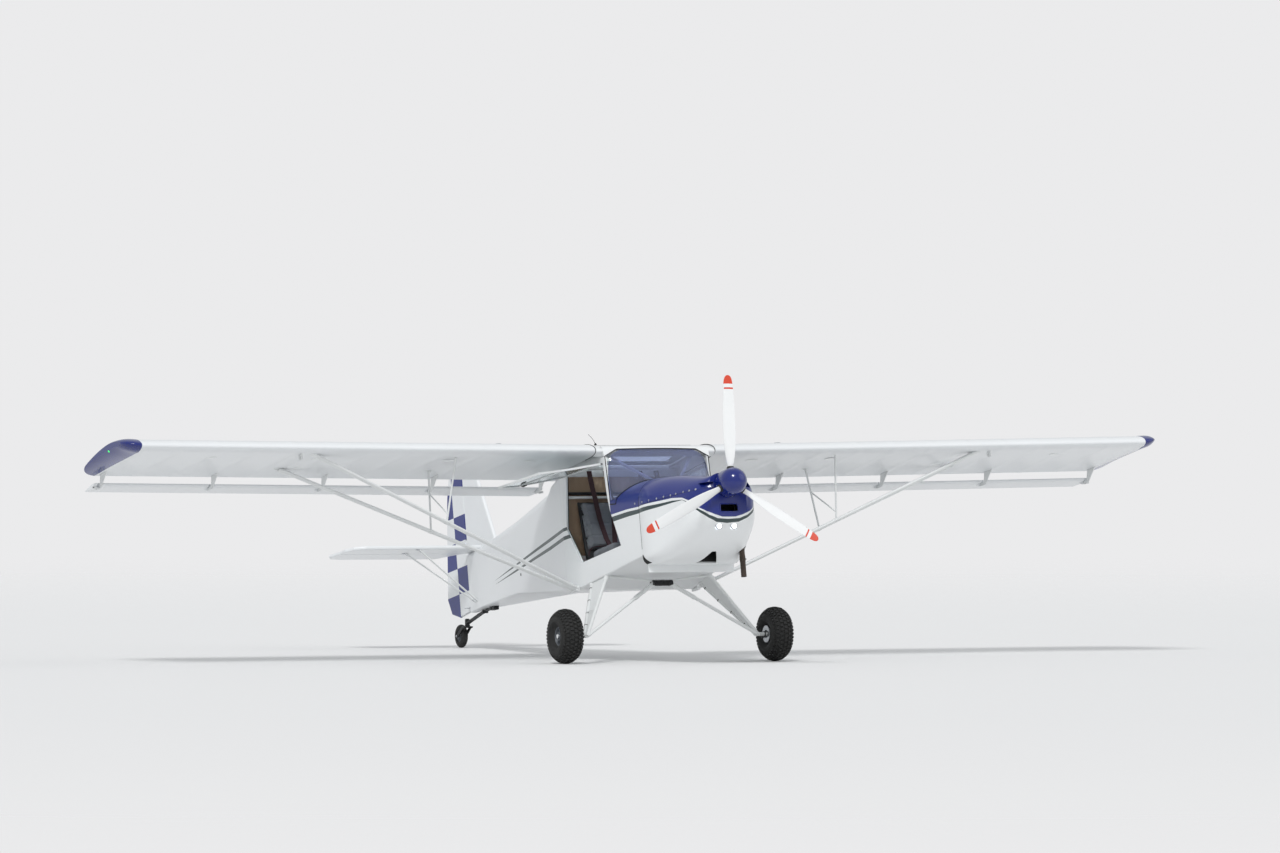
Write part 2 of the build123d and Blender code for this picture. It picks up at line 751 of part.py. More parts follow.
def shank(radius, length):
    """Round root of a blade, or its bore in the hub, along the blade's own axis."""
    return Pos(0, 0, 40) * Cylinder(radius, length, align=(Align.CENTER, Align.CENTER, Align.MIN))


def build_spinner():
    back = blade_plane_y + 60
    nose = back - spinner_length
    centre = (back - spinner_skirt, 0)
    profile = [
        Line((nose, 0), (back, 0)),
        Line((back, 0), (back, spinner_radius)),
        Line((back, spinner_radius), (back - spinner_skirt, spinner_radius)),
        EllipticalCenterArc(centre, spinner_length - spinner_skirt, spinner_radius, start_angle=90, arc_size=90),
    ]
    plane = Plane((0, 0, thrust_z), x_dir=(0, 1, 0), z_dir=(1, 0, 0))
    body = revolve(plane * make_face(profile), Axis((0, 0, thrust_z), (0, 1, 0)))
    boss = bar((0, back - 5, thrust_z), (0, cowl_front_y + 18, thrust_z), 45)
    body += boss
    for i in range(3):
        body -= blade_frame(i) * shank(hub_bore_radius, 160)
    return body


def blade_frame(index):
    """Frame of one blade: local Z out along the blade, local X towards its leading edge side."""
    angle = radians(blade_angle + 120 * index)
    out = Vector(cos(angle), 0, sin(angle))
    return Plane((0, blade_plane_y, thrust_z), x_dir=out.cross(Vector(0, 1, 0)), z_dir=out).location


def build_blades():
    # Columns: distance out, chord, thickness, pitch
    table = [(118, 50, 48, 50), (200, 74, 32, 36), (380, 104, 19, 24), (640, 96, 12, 16), (blade_radius, 56, 6, 11)]
    blades = []
    for i in range(3):
        sections = []
        for r, chord, thick, pitch in table:
            lens = make_face([
                ThreePointArc((-chord / 2, 0), (0, thick / 2), (chord / 2, 0)),
                ThreePointArc((chord / 2, 0), (0, -thick / 2), (-chord / 2, 0)),
            ])
            sections.append(blade_frame(i) * Pos(0, 0, r) * Rot(0, 0, -pitch) * lens)
        blades.append(loft(sections) + blade_frame(i) * shank(hub_bore_radius - pin_gap, 82))
    return blades


def build_engine(tub):
    """Flat-four engine as one block, with its gearbox, shaft flange and four mount tubes."""
    block = box_between((-170, -1120, 800), (170, -640, 1085))
    heads = box_between((-275, -1000, 880), (275, -760, 1010))
    gearbox = bar((0, cowl_front_y + 18 + pin_gap, thrust_z), (0, -1100, thrust_z), 55)
    engine = block + heads + gearbox
    for x, z in [(150, 830), (150, 1060), (-150, 830), (-150, 1060)]:
        engine += bar((x, -650, z), (x * 1.6, firewall_y + 4, 945 + (z - 945) * 1.4), 12)
    return engine - tub


def build_exhaust(engine):
    pipe = bar((300, -810, 345), (300, -810, 600), 22.5)
    elbow = bar((300, -810, 590), (230, -860, 900), 22.5)
    return pipe + elbow - engine


def landing_light(x, radius):
    """Lamp let into the underside of the nose, facing ahead."""
    return bar((x, -1188, 703), (x, -1110, 709), radius)


def build_cabin_frame(panel):
    """Steel tubes seen through the glass: the carry-through tubes and the V behind the screen."""
    end_x = wing_root_x - pin_gap
    frame = bar((-end_x, 215, 1562), (end_x, 215, 1562), 28) + bar((-end_x, 720, 1530), (end_x, 720, 1530), 20)
    for sign in (1, -1):
        frame += bar((sign * 410, 215, 1562), (sign * 65, -164, 1217), 13)
        frame += bar((sign * 425, 215, 1562), (sign * 425, 720, 1530), 12)
    return frame - panel


def build_panel():
    return scuttle_form(skin + pin_gap) & box_between((-500, -178, waist_z + 10), (500, -162, 1400))


def floor_at(y):
    """Height just over the cabin floor at station y."""
    return keel_at(y) + wall + pin_gap


def build_seats():
    seats = []
    profile = [
        (110, floor_at(110)),
        (560, floor_at(560)),
        (640, 760),
        (730, 1240),
        (655, 1250),
        (560, 800),
        (500, 775),
        (170, 812),
        (110, 780),
    ]
    for x in (-seat_x, seat_x):
        seats.append(side_profile(profile, x - seat_half_width, x + seat_half_width))
    return seats


def build_sticks(tub):
    sticks = []
    for x in (-seat_x, seat_x):
        foot_z = floor_at(40)
        stick = bar((x, 40, foot_z), (x, 20, 900), 12) + bar((x, 20.5, 890), (x, 0, 1010), 17)
        stick += bar((x, 40, foot_z - 10), (x, 40, foot_z + 28), 28)
        sticks.append(stick - tub)
    return sticks


# Doors, built closed in the port side
hinge_z = rail_z + 6
hinge_out = 6.5
hinge_centres = [190, 560]


def hinge_point(y):
    here = side_plane.from_local_coords(Vector((y - firewall_y) * side_stretch, hinge_z, hinge_out))
    return (here.X, here.Y, here.Z)


def build_door():
    edge = inset(door_outline, leaf_gap)
    light = inset(door_outline, leaf_gap + door_frame_width)
    frame = side_panel(edge, 0, door_thickness) - side_panel(light, -5, door_thickness + 5)
    bar_points = [(-60, 1022), (760, 1007), (760, 1031), (-60, 1046)]
    frame += side_panel(bar_points, 0, door_thickness) & side_panel(edge, 0, door_thickness)
    glass = side_panel(light, 6, 6 + glass_thickness) - frame
    for y in hinge_centres:
        for shift in (-24, 24):
            a, b = hinge_point(y + shift - 12 + pin_gap), hinge_point(y + shift + 12 - pin_gap)
            frame += bar(a, b, 5)
            strap = [(y + shift - 11, rail_z - 14), (y + shift - 11, hinge_z)]
            strap += [(y + shift + 11, hinge_z), (y + shift + 11, rail_z - 14)]
            lower = [(p, min(q, rail_z - leaf_gap)) for p, q in strap]
            frame += side_panel(strap, -6, -1.5) + side_panel(lower, -6, 4)
    return frame, glass


def build_door_knuckles():
    pieces = []
    for y in hinge_centres:
        knuckle = bar(hinge_point(y - 12), hinge_point(y + 12), 5)
        strap = [(y - 11, hinge_z - 3), (y - 11, 1476), (y + 11, 1476), (y + 11, hinge_z - 3)]
        pieces.append(knuckle + side_panel(strap, -6, 0))
    return pieces


def build_tail_braces(tail_cone, stab):
    foot = (60, 3700, 905)
    front = fairing((600, 3672, stab_z - 8), foot, 26, 12)
    rear = fairing((650, 3860, stab_z - 8), (60, 3740, 905), 26, 12)
    return front - tail_cone - stab, rear - tail_cone - stab


nodes = {}
bodies = {}


def add(name, shape, body="root"):
    solids = []
    for item in shape if isinstance(shape, list) else [shape]:
        solids += item.solids()
    nodes[name] = solids
    bodies[name] = body


def port_and_starboard(name, shape, body="root"):
    if isinstance(shape, list):
        left, right = shape, [mirror(s, Plane.YZ) for s in shape]
    else:
        left, right = both_sides(shape)
    add(name + "_left", left, body + "_left" if body != "root" else body)
    add(name + "_right", right, body + "_right" if body != "root" else body)


tub = build_cabin_tub()
scuttle = scuttle_form(0)
roof, skylight = build_roof()
wing = build_wing()
tail_cone = build_rear_fuselage()
stab = build_stabiliser()
cowl_upper, cowl_lower = build_cowls()
for x in (-lamp_x, lamp_x):
    cowl_lower -= landing_light(x, lamp_radius + pin_gap)
leg = build_gear_leg(tub)
legs = both_sides(leg)
cabane = build_cabane_tubes(tub, build_cabane_block(), legs)
struts, bracket = build_lift_struts(wing, tub)
door_frame, door_glass = build_door()
engine = build_engine(tub)
panel = build_panel()
cabin_frame = build_cabin_frame(panel)
tub -= cabin_frame
tub += bracket + mirror(bracket, Plane.YZ)
for neighbour in [*both_sides(wing), roof]:
    tub -= neighbour

knuckles = build_door_knuckles()
for knuckle in knuckles:
    for piece in both_sides(knuckle):
        tub += piece
add("cabin_tub", tub)
tube_hole = bar((-90, elevator_hinge_y, stab_z), (90, elevator_hinge_y, stab_z), 19)
add("rear_fuselage", tail_cone + rudder_lug(rudder_lugs[0]) - tube_hole)
add("boot_cowl", build_boot_cowl())
add("cowl_upper", cowl_upper)
add("cowl_lower", cowl_lower)
add("engine", engine)
add("exhaust_pipe", build_exhaust(engine))
add("landing_lights", [landing_light(x, lamp_radius) for x in (-lamp_x, lamp_x)])
add("windscreen", build_windscreen(scuttle, roof))
add("roof_fairing", roof)
add("skylight", skylight)
add("cabin_frame", cabin_frame)
add("instrument_panel", panel)
add("seats", build_seats())
add("control_sticks", build_sticks(tub))
port_and_starboard("wing", wing)
add("wing_tips", both_sides(build_wing_tip()))
arms = build_hangers(wing)
add("flaperon_hangers", arms + [mirror(a, Plane.YZ) for a in arms])
add("lift_struts", both_sides(struts[0]) + both_sides(struts[1]))
add("jury_struts", both_sides(build_jury_struts(wing, struts)))
add("tie_down_rings", both_sides(build_tie_down(wing)))
add("gear_legs", legs)
add("shock_struts", both_sides(build_shock_strut(leg, cabane)))
add("gear_cabane", cabane)
add("fin", build_fin(stab, tail_cone))
add("stabiliser", stab)
braces = build_tail_braces(tail_cone, stab)
add("tail_braces", [side for brace in braces for side in both_sides(brace)])
add("tail_spring", build_tail_spring(tail_cone))
add("spinner", build_spinner(), "propeller")
add("propeller_blades", build_blades(), "propeller")
port_and_starboard("tyre", build_tyre(half_track), "wheel")
port_and_starboard("wheel_rim", build_wheel(half_track), "wheel")
add("tail_fork", build_tail_fork(), "tail_swivel")
add("tail_wheel", build_tail_wheel(), "tail_wheel")
add("rudder", build_rudder(), "rudder")
add("elevator", build_elevator(), "elevator")
port_and_starboard("flaperon", build_flaperon(), "flaperon")

starboard_hinge = Axis(
    (-hinge_point(0)[0], hinge_point(0)[1], hinge_z),
    (-(hinge_point(1)[0] - hinge_point(0)[0]), hinge_point(1)[1] - hinge_point(0)[1], 0),
)
for name, shape in [("door_frame", door_frame), ("door_glass", door_glass)]:
    add(name + "_left", shape, "door_left")
    add(name + "_right", mirror(shape, Plane.YZ).rotate(starboard_hinge, door_open_angle), "door_right")


def park_point(point):
    """Where a point of the airframe stands when the aircraft is parked."""
    x, y, z = point
    a = radians(attitude)
    return (x, y * cos(a) + z * sin(a) - middle_y, -y * sin(a) + z * cos(a) + stand_height)


def park(solid):
    turned = solid.rotate(Axis.X, -attitude)
    return turned.translate((0, -middle_y, stand_height))


middle_y = 0
ends = [park(s).bounding_box() for s in nodes["spinner"] + nodes["rudder"]]
middle_y = (min(e.min.Y for e in ends) + max(e.max.Y for e in ends)) / 2

if __name__ == "__main__":
    os.makedirs("parts", exist_ok=True)
    for name, solids in nodes.items():
        parked = [park(s) for s in solids]
        export_step(Compound(children=parked) if len(parked) > 1 else parked[0], "parts/" + name + ".step")
        print(name, len(parked), "solids", round(sum(s.volume for s in parked) / 1e6, 3), "litres")
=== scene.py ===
"""Looks of a two-seat, strut-braced, high-wing microlight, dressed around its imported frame."""

from __future__ import annotations

import json
import logging
import math
from dataclasses import dataclass
from enum import Enum
from typing import Callable, Sequence

import bpy
from mathutils import Matrix, Vector
from mathutils.bvhtree import BVHTree

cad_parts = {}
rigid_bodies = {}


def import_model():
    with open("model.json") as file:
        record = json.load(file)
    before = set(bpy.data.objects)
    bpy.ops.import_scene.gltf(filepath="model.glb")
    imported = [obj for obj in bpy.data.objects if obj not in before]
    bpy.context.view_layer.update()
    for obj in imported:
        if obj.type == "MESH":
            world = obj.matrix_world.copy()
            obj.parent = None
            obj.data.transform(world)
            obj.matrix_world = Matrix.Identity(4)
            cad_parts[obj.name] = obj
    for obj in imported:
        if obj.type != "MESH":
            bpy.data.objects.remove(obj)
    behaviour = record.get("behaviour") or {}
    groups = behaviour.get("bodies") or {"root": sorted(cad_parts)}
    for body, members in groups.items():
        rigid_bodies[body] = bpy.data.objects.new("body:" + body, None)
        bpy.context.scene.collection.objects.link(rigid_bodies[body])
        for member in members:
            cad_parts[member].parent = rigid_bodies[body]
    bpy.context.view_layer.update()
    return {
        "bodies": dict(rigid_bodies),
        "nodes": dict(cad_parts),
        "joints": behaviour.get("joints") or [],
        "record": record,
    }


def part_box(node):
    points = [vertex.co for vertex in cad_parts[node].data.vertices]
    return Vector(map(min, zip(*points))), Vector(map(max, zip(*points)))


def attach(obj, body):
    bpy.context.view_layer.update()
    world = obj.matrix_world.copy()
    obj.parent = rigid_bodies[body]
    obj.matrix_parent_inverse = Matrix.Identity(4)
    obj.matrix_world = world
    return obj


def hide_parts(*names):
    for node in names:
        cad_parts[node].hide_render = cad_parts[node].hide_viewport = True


LOG = logging.getLogger("microlight")
MM = 0.001
Point = Sequence[float]
Colour = tuple[float, float, float, float]
Piece = bpy.types.Object
Tree = bpy.types.NodeTree
Socket = bpy.types.NodeSocket
# Origin and directions in the airframe's axes
ZERO = (0, 0, 0)
ACROSS, AFT, UP, DOWN = (1, 0, 0), (0, 1, 0), (0, 0, 1), (0, 0, -1)


class Relief(Enum):
    """How a surface's fine relief was made."""

    SMOOTH = "smooth"
    ORANGE_PEEL = "sprayed"
    WEAVE = "woven"
    BRUSHED = "brushed"
    CAST = "cast"
    MOULDED = "moulded"


class Side(Enum):
    """Side of the aircraft; the value is the sign of X."""

    PORT = 1
    STARBOARD = -1

    @property
    def word(self) -> str:
        """The side's word in the names of nodes and pieces."""
        return "left" if self is Side.PORT else "right"


def linear(code: str, alpha: float = 1.0) -> Colour:
    """Turns an sRGB hex colour into linear light.

    Args:
        code: Six hex digits.
        alpha: Opacity of the result.

    Returns:
        Red, green, blue and alpha.
    """
    channels = [int(code[i : i + 2], 16) / 255 for i in (0, 2, 4)]
    red, green, blue = (c / 12.92 if c <= 0.04045 else ((c + 0.055) / 1.055) ** 2.4 for c in channels)
    return red, green, blue, alpha


@dataclass(frozen=True)
class Stance:
    """The airframe's own axes, in mm: X to port, Y aft, Z up, noseup on its tailwheel.

    Args:
        attitude: Nose-up angle in degrees.
        shift: Where the airframe's datum stands in the frame, in metres.
    """

    attitude: float
    shift: tuple[float, float, float]

    @classmethod
    def parked(cls, attitude: float, axle: tuple[float, float]) -> Stance:
        """Finds the datum from the main axle, whose place in the airframe's axes is known.

        Args:
            attitude: Nose-up angle in degrees.
            axle: The main axle's Y and Z in the airframe's axes, in mm.

        Returns:
            The parked stance.
        """
        low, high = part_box("wheel_rim_left")
        hub = (low + high) / 2
        turned = Matrix.Rotation(-math.radians(attitude), 4, "X") @ Vector((0, *axle)) * MM
        return cls(attitude, (0.0, hub.y - turned.y, hub.z - turned.z))

    def matrix(self) -> Matrix:
        """Matrix from the airframe's axes to the frame, both in metres."""
        return Matrix.Translation(self.shift) @ Matrix.Rotation(-math.radians(self.attitude), 4, "X")


def add_node(tree: Tree, kind: str, inputs: dict | None = None, **settings: object) -> bpy.types.Node:
    """Adds one shader node with its settings and links.

    Args:
        tree: The material's node tree.
        kind: The node's type name.
        inputs: Socket name or index to a value or to another node's output.
        **settings: Properties of the node itself.

    Returns:
        The new node.
    """
    node = tree.nodes.new(kind)
    for key, value in settings.items():
        setattr(node, key, value)
    for key, value in (inputs or {}).items():
        if isinstance(value, Socket):
            tree.links.new(value, node.inputs[key])
        else:
            node.inputs[key].default_value = value
    return node


def calc(tree: Tree, operation: str, *values: object) -> Socket:
    """Adds a Math node and returns its output; values are numbers or sockets, in order."""
    return add_node(tree, "ShaderNodeMath", dict(enumerate(values)), operation=operation).outputs[0]


def curve_of(tree: Tree, value: object, points: Sequence[tuple[float, float]]) -> Socket:
    """Reads a value through a line of straight runs.

    Args:
        tree: The material's node tree.
        value: Socket to read.
        points: Input and output pairs, inputs rising from 0 to 1.

    Returns:
        The output socket.
    """
    node = add_node(tree, "ShaderNodeFloatCurve", {"Value": value})
    mapping = node.mapping
    mapping.clip_max_y = 2.0
    line = mapping.curves[0]
    while len(line.points) < len(points):
        line.points.new(0.5, 0.5)
    for knot, place in zip(line.points, points):
        knot.location = place
        knot.handle_type = "VECTOR"
    mapping.update()
    return node.outputs[0]


def between(tree: Tree, value: object, low: object, high: object) -> Socket:
    """Gives 1 where a value lies between two others, else 0."""
    return calc(tree, "MULTIPLY", calc(tree, "GREATER_THAN", value, low), calc(tree, "LESS_THAN", value, high))


def blend(tree: Tree, share: object, below: object, above: object) -> Socket:
    """Mixes two colours; a share of 0 gives the one below and 1 the one above."""
    return add_node(tree, "ShaderNodeMix", {0: share, 6: below, 7: above}, data_type="RGBA").outputs[2]


Painter = Callable[[Tree, Socket], Socket]


@dataclass(frozen=True)
class Finish:
    """One finish, as its maker gives it: base, gloss, relief and what is painted on it.

    Args:
        name: Plain name of the real finish.
        slot: The record's slot that it fills; not used.
        colour: sRGB hex of the base.
        roughness: Microsurface roughness.
        metallic: 1 for bare metal.
        coat: Weight of the clear coat.
        shade: sRGB hex that patches of dirt or wear drift towards.
        patch_mm: Size of those patches.
        patch_share: Strength of the drift, 0 to 1.
        relief: Kind of fine relief.
        grain_mm: Size of one grain, thread or brush line.
        height_mm: Height of the relief.
        clear: Share of light let through, 0 to 1.
        ior: Index of refraction.
        glow: Emission strength.
    """

    name: str
    slot: str
    colour: str
    roughness: float = 0.4
    metallic: float = 0.0
    coat: float = 0.0
    shade: str = ""
    patch_mm: float = 120.0
    patch_share: float = 0.35
    relief: Relief = Relief.SMOOTH
    grain_mm: float = 1.0
    height_mm: float = 0.02
    clear: float = 0.0
    ior: float = 1.5
    glow: float = 0.0

    COAT_ROUGHNESS = 0.06
    # Threads that the wave texture draws in a unit at a scale of 1
    THREADS_PER_SCALE = 6.3

    def make(self, paint: Painter | None = None, suffix: str = "") -> bpy.types.Material:
        """Makes the material.

        Args:
            paint: Adds painted colours over the base, from the Object coordinates.
            suffix: Added to the name where a paint is given.

        Returns:
            The node material.
        """
        material = bpy.data.materials.new(self.name + suffix)
        material.use_nodes = True
        tree = material.node_tree
        shader = tree.nodes["Principled BSDF"]
        place = add_node(tree, "ShaderNodeTexCoord").outputs["Object"]
        sockets = shader.inputs
        sockets["Base Color"].default_value = linear(self.colour)
        sockets["Roughness"].default_value = self.roughness
        sockets["Metallic"].default_value = self.metallic
        if self.coat:
            sockets["Coat Weight"].default_value = self.coat
            sockets["Coat Roughness"].default_value = self.COAT_ROUGHNESS
        if not self.metallic:
            sockets["IOR"].default_value = self.ior
        if self.clear:
            sockets["Transmission Weight"].default_value = self.clear
            material.surface_render_method = "DITHERED"
        if self.glow:
            sockets["Emission Color"].default_value = linear(self.colour)
            sockets["Emission Strength"].default_value = self.glow
        colour = self._patches(tree, place)
        if paint:
            colour = paint(tree, colour)
        if colour is not None and not isinstance(colour, tuple):
            tree.links.new(colour, sockets["Base Color"])
        normal = self._relief(tree, place)
        if normal is not None:
            tree.links.new(normal, sockets["Normal"])
        return material

    def _patches(self, tree: Tree, place: Socket) -> object:
        """Drifts the base colour in soft patches; returns a colour or a socket."""
        if not self.shade:
            return linear(self.colour)
        noise = add_node(
            tree,
            "ShaderNodeTexNoise",
            {"Vector": place, "Scale": 1 / (self.patch_mm * MM), "Detail": 5.0, "Roughness": 0.6},
        )
        share = calc(tree, "MULTIPLY", noise.outputs["Fac"], self.patch_share)
        return blend(tree, share, linear(self.colour), linear(self.shade))

    def _relief(self, tree: Tree, place: Socket) -> Socket | None:
        """Adds the fine relief as a bump; returns the normal or None where the surface is smooth."""
        per_metre = 1 / (self.grain_mm * MM)
        if self.relief is Relief.SMOOTH:
            return None
        if self.relief is Relief.WEAVE:
            thread = {"Vector": place, "Scale": per_metre / self.THREADS_PER_SCALE, "Distortion": 0.4}
            weft, warp = (
                add_node(tree, "ShaderNodeTexWave", thread, bands_direction=axis).outputs["Fac"] for axis in "XY"
            )
            height = calc(tree, "MAXIMUM", weft, warp)
        else:
            stretch = (1.0, 1.0, 0.04) if self.relief is Relief.BRUSHED else (1.0, 1.0, 1.0)
            vector = add_node(tree, "ShaderNodeMapping", {"Vector": place, "Scale": stretch}).outputs[0]
            detail = {Relief.ORANGE_PEEL: 1.0, Relief.CAST: 6.0, Relief.MOULDED: 3.0}.get(self.relief, 2.0)
            noise = add_node(tree, "ShaderNodeTexNoise", {"Vector": vector, "Scale": per_metre, "Detail": detail})
            height = noise.outputs["Fac"]
        bump = add_node(tree, "ShaderNodeBump", {"Height": height, "Distance": self.height_mm * MM, "Strength": 0.6})
        return bump.outputs[0]


# Two-pack polyurethane on aluminium and glass fibre: bright, wet-looking, a trace of orange peel
WHITE_PAINT = Finish(
    "two_pack_white_paint", "white_paint", "EDEFF0", 0.28, coat=0.5, shade="D9DDDD", patch_mm=420, patch_share=0.3,
    relief=Relief.ORANGE_PEEL, grain_mm=9, height_mm=0.03,
)
NAVY_PAINT = Finish(
    "two_pack_navy_paint", "navy_paint", "0A2076", 0.2, coat=0.45, shade="0A1452", patch_mm=300,
    relief=Relief.ORANGE_PEEL, grain_mm=9, height_mm=0.03,
)
# Painted polyester cloth, doped tight: satin, its threads just felt, drawn coarser than the real 0.4 mm to show
WHITE_FABRIC = Finish(
    "painted_polyester_fabric", "white_fabric", "E9EBED", 0.36, coat=0.25, shade="D3D8D9", patch_mm=600,
    patch_share=0.35, relief=Relief.WEAVE, grain_mm=3.0, height_mm=0.02,
)
# Powder-coated chrome-molybdenum tube: even satin white
TUBE_WHITE = Finish(
    "powder_coated_tube", "steel_tube", "E4E6E6", 0.34, shade="C9CDCB", patch_mm=150, relief=Relief.ORANGE_PEEL,
    grain_mm=4, height_mm=0.02,
)
TUBE_GREY = Finish(
    "primed_steel_tube", "steel_tube", "5B6066", 0.45, shade="474B50", patch_mm=80, relief=Relief.ORANGE_PEEL,
    grain_mm=4, height_mm=0.02,
)
# Blown acrylic sheet: clear with a cool edge
CLEAR_SHEET = Finish(
    "clear_acrylic_sheet", "clear_sheet", "E8F1F3", 0.03, clear=1.0, ior=1.08, shade="DDE9ED", patch_mm=260,
)
# Tinted acrylic of the windscreen: its bluish diffuse veil is a painted sky reflection, and it half hides the tubes
# behind it
SKY_SHEEN_SHEET = Finish(
    "acrylic_screen_painted_sky_sheen", "clear_sheet", "AFB7D8", 0.04, clear=0.88, ior=1.12, coat=0.6, shade="9CA5C8",
    patch_mm=340,
)
BLACK_ABS = Finish(
    "moulded_black_abs", "black_plastic", "17181A", 0.55, shade="232427", patch_mm=60, relief=Relief.MOULDED,
    grain_mm=1.2, height_mm=0.08,
)
GREY_CLOTH = Finish(
    "woven_grey_seat_cloth", "grey_cloth", "6F7378", 0.85, shade="565A60", patch_mm=90, relief=Relief.WEAVE,
    grain_mm=3.5, height_mm=0.5,
)
MILLED_ALUMINIUM = Finish(
    "milled_aluminium", "bare_aluminium", "BFC2C6", 0.32, metallic=1.0, shade="9EA2A7", patch_mm=50,
    relief=Relief.BRUSHED, grain_mm=1.2, height_mm=0.02,
)
CAST_ALUMINIUM = Finish(
    "cast_aluminium", "engine_casting", "6B6D70", 0.55, metallic=0.9, shade="3E3F41", patch_mm=40, relief=Relief.CAST,
    grain_mm=5, height_mm=0.3,
)
TYRE_RUBBER = Finish(
    "tyre_rubber", "tyre", "191A1B", 0.78, shade="2C2B28", patch_mm=60, patch_share=0.6, relief=Relief.MOULDED,
    grain_mm=3, height_mm=0.15,
)
SEAL_RUBBER = Finish(
    "black_seal_rubber", "black_rubber", "121314", 0.7, shade="1F2022", patch_mm=40, relief=Relief.MOULDED,
    grain_mm=2, height_mm=0.05,
)
SCORCHED_STEEL = Finish(
    "scorched_stainless_pipe", "exhaust_steel", "5C5048", 0.5, metallic=0.6, shade="2A2522", patch_mm=45,
    patch_share=0.8, relief=Relief.CAST, grain_mm=3, height_mm=0.05,
)
SPRING_STEEL = Finish(
    "blacked_spring_steel", "dark_steel", "222427", 0.45, metallic=0.5, shade="33322F", patch_mm=50,
    relief=Relief.ORANGE_PEEL, grain_mm=3, height_mm=0.03,
)
BLADE_GELCOAT = Finish("white_blade_gelcoat", "white_gloss", "F1F2F2", 0.22, coat=0.6, shade="E2E4E4", patch_mm=200)
# Clear lens with a faint glow that is a painted glint; the landing lamps' bodies and the gauge glasses wear it
GLINT_LENS = Finish("clear_lens_painted_glint", "lamp", "F4F8FF", 0.05, clear=0.6, glow=0.6, shade="DCE6F4", patch_mm=14)
# Landing lamp lens glowing bright: the glow is a painted glint
GLINT_GLOW_LENS = Finish("lamp_lens_painted_glint", "lamp", "F4F9FF", 0.1, glow=2.2, shade="DCEBFA", patch_mm=12)
GREEN_LENS = Finish("lit_green_lens", "lamp", "35F06A", 0.12, glow=1.6, shade="25C052", patch_mm=12)
RED_LENS = Finish("red_lamp_lens", "lamp", "C81E1E", 0.12, glow=0.35, shade="8E1414", patch_mm=12)
RED_KNOB = Finish("moulded_red_knob", "black_plastic", "B3221C", 0.4, shade="7E1512", patch_mm=10)
# Woven polyester webbing, faded
BELT_WEBBING = Finish(
    "dark_red_webbing", "grey_cloth", "34161B", 0.8, shade="1E0D11", patch_mm=60, relief=Relief.WEAVE, grain_mm=2.4,
    height_mm=0.3,
)
# Loose-woven tan cloth, sun-faded
TAN_CLOTH = Finish(
    "woven_tan_curtain", "grey_cloth", "9C8670", 0.9, shade="7C6855", patch_mm=160, relief=Relief.WEAVE, grain_mm=3.5,
    height_mm=0.4,
)
# Ribbed rubber mat, dusty
MAT_RUBBER = Finish(
    "ribbed_mat_rubber", "black_rubber", "3B3D41", 0.85, shade="57564F", patch_mm=120, relief=Relief.MOULDED,
    grain_mm=3, height_mm=0.1,
)
# Braided cotton sleeve over rubber strands
SHOCK_CORD = Finish(
    "braided_shock_cord", "black_rubber", "1C1D20", 0.8, shade="3A3B3D", patch_mm=12, relief=Relief.WEAVE,
    grain_mm=1.6, height_mm=0.2,
)

# Painted colours of the livery
NAVY = "0A2076"
STRIPE = "24393B"
TIP_RED = "D8452A"


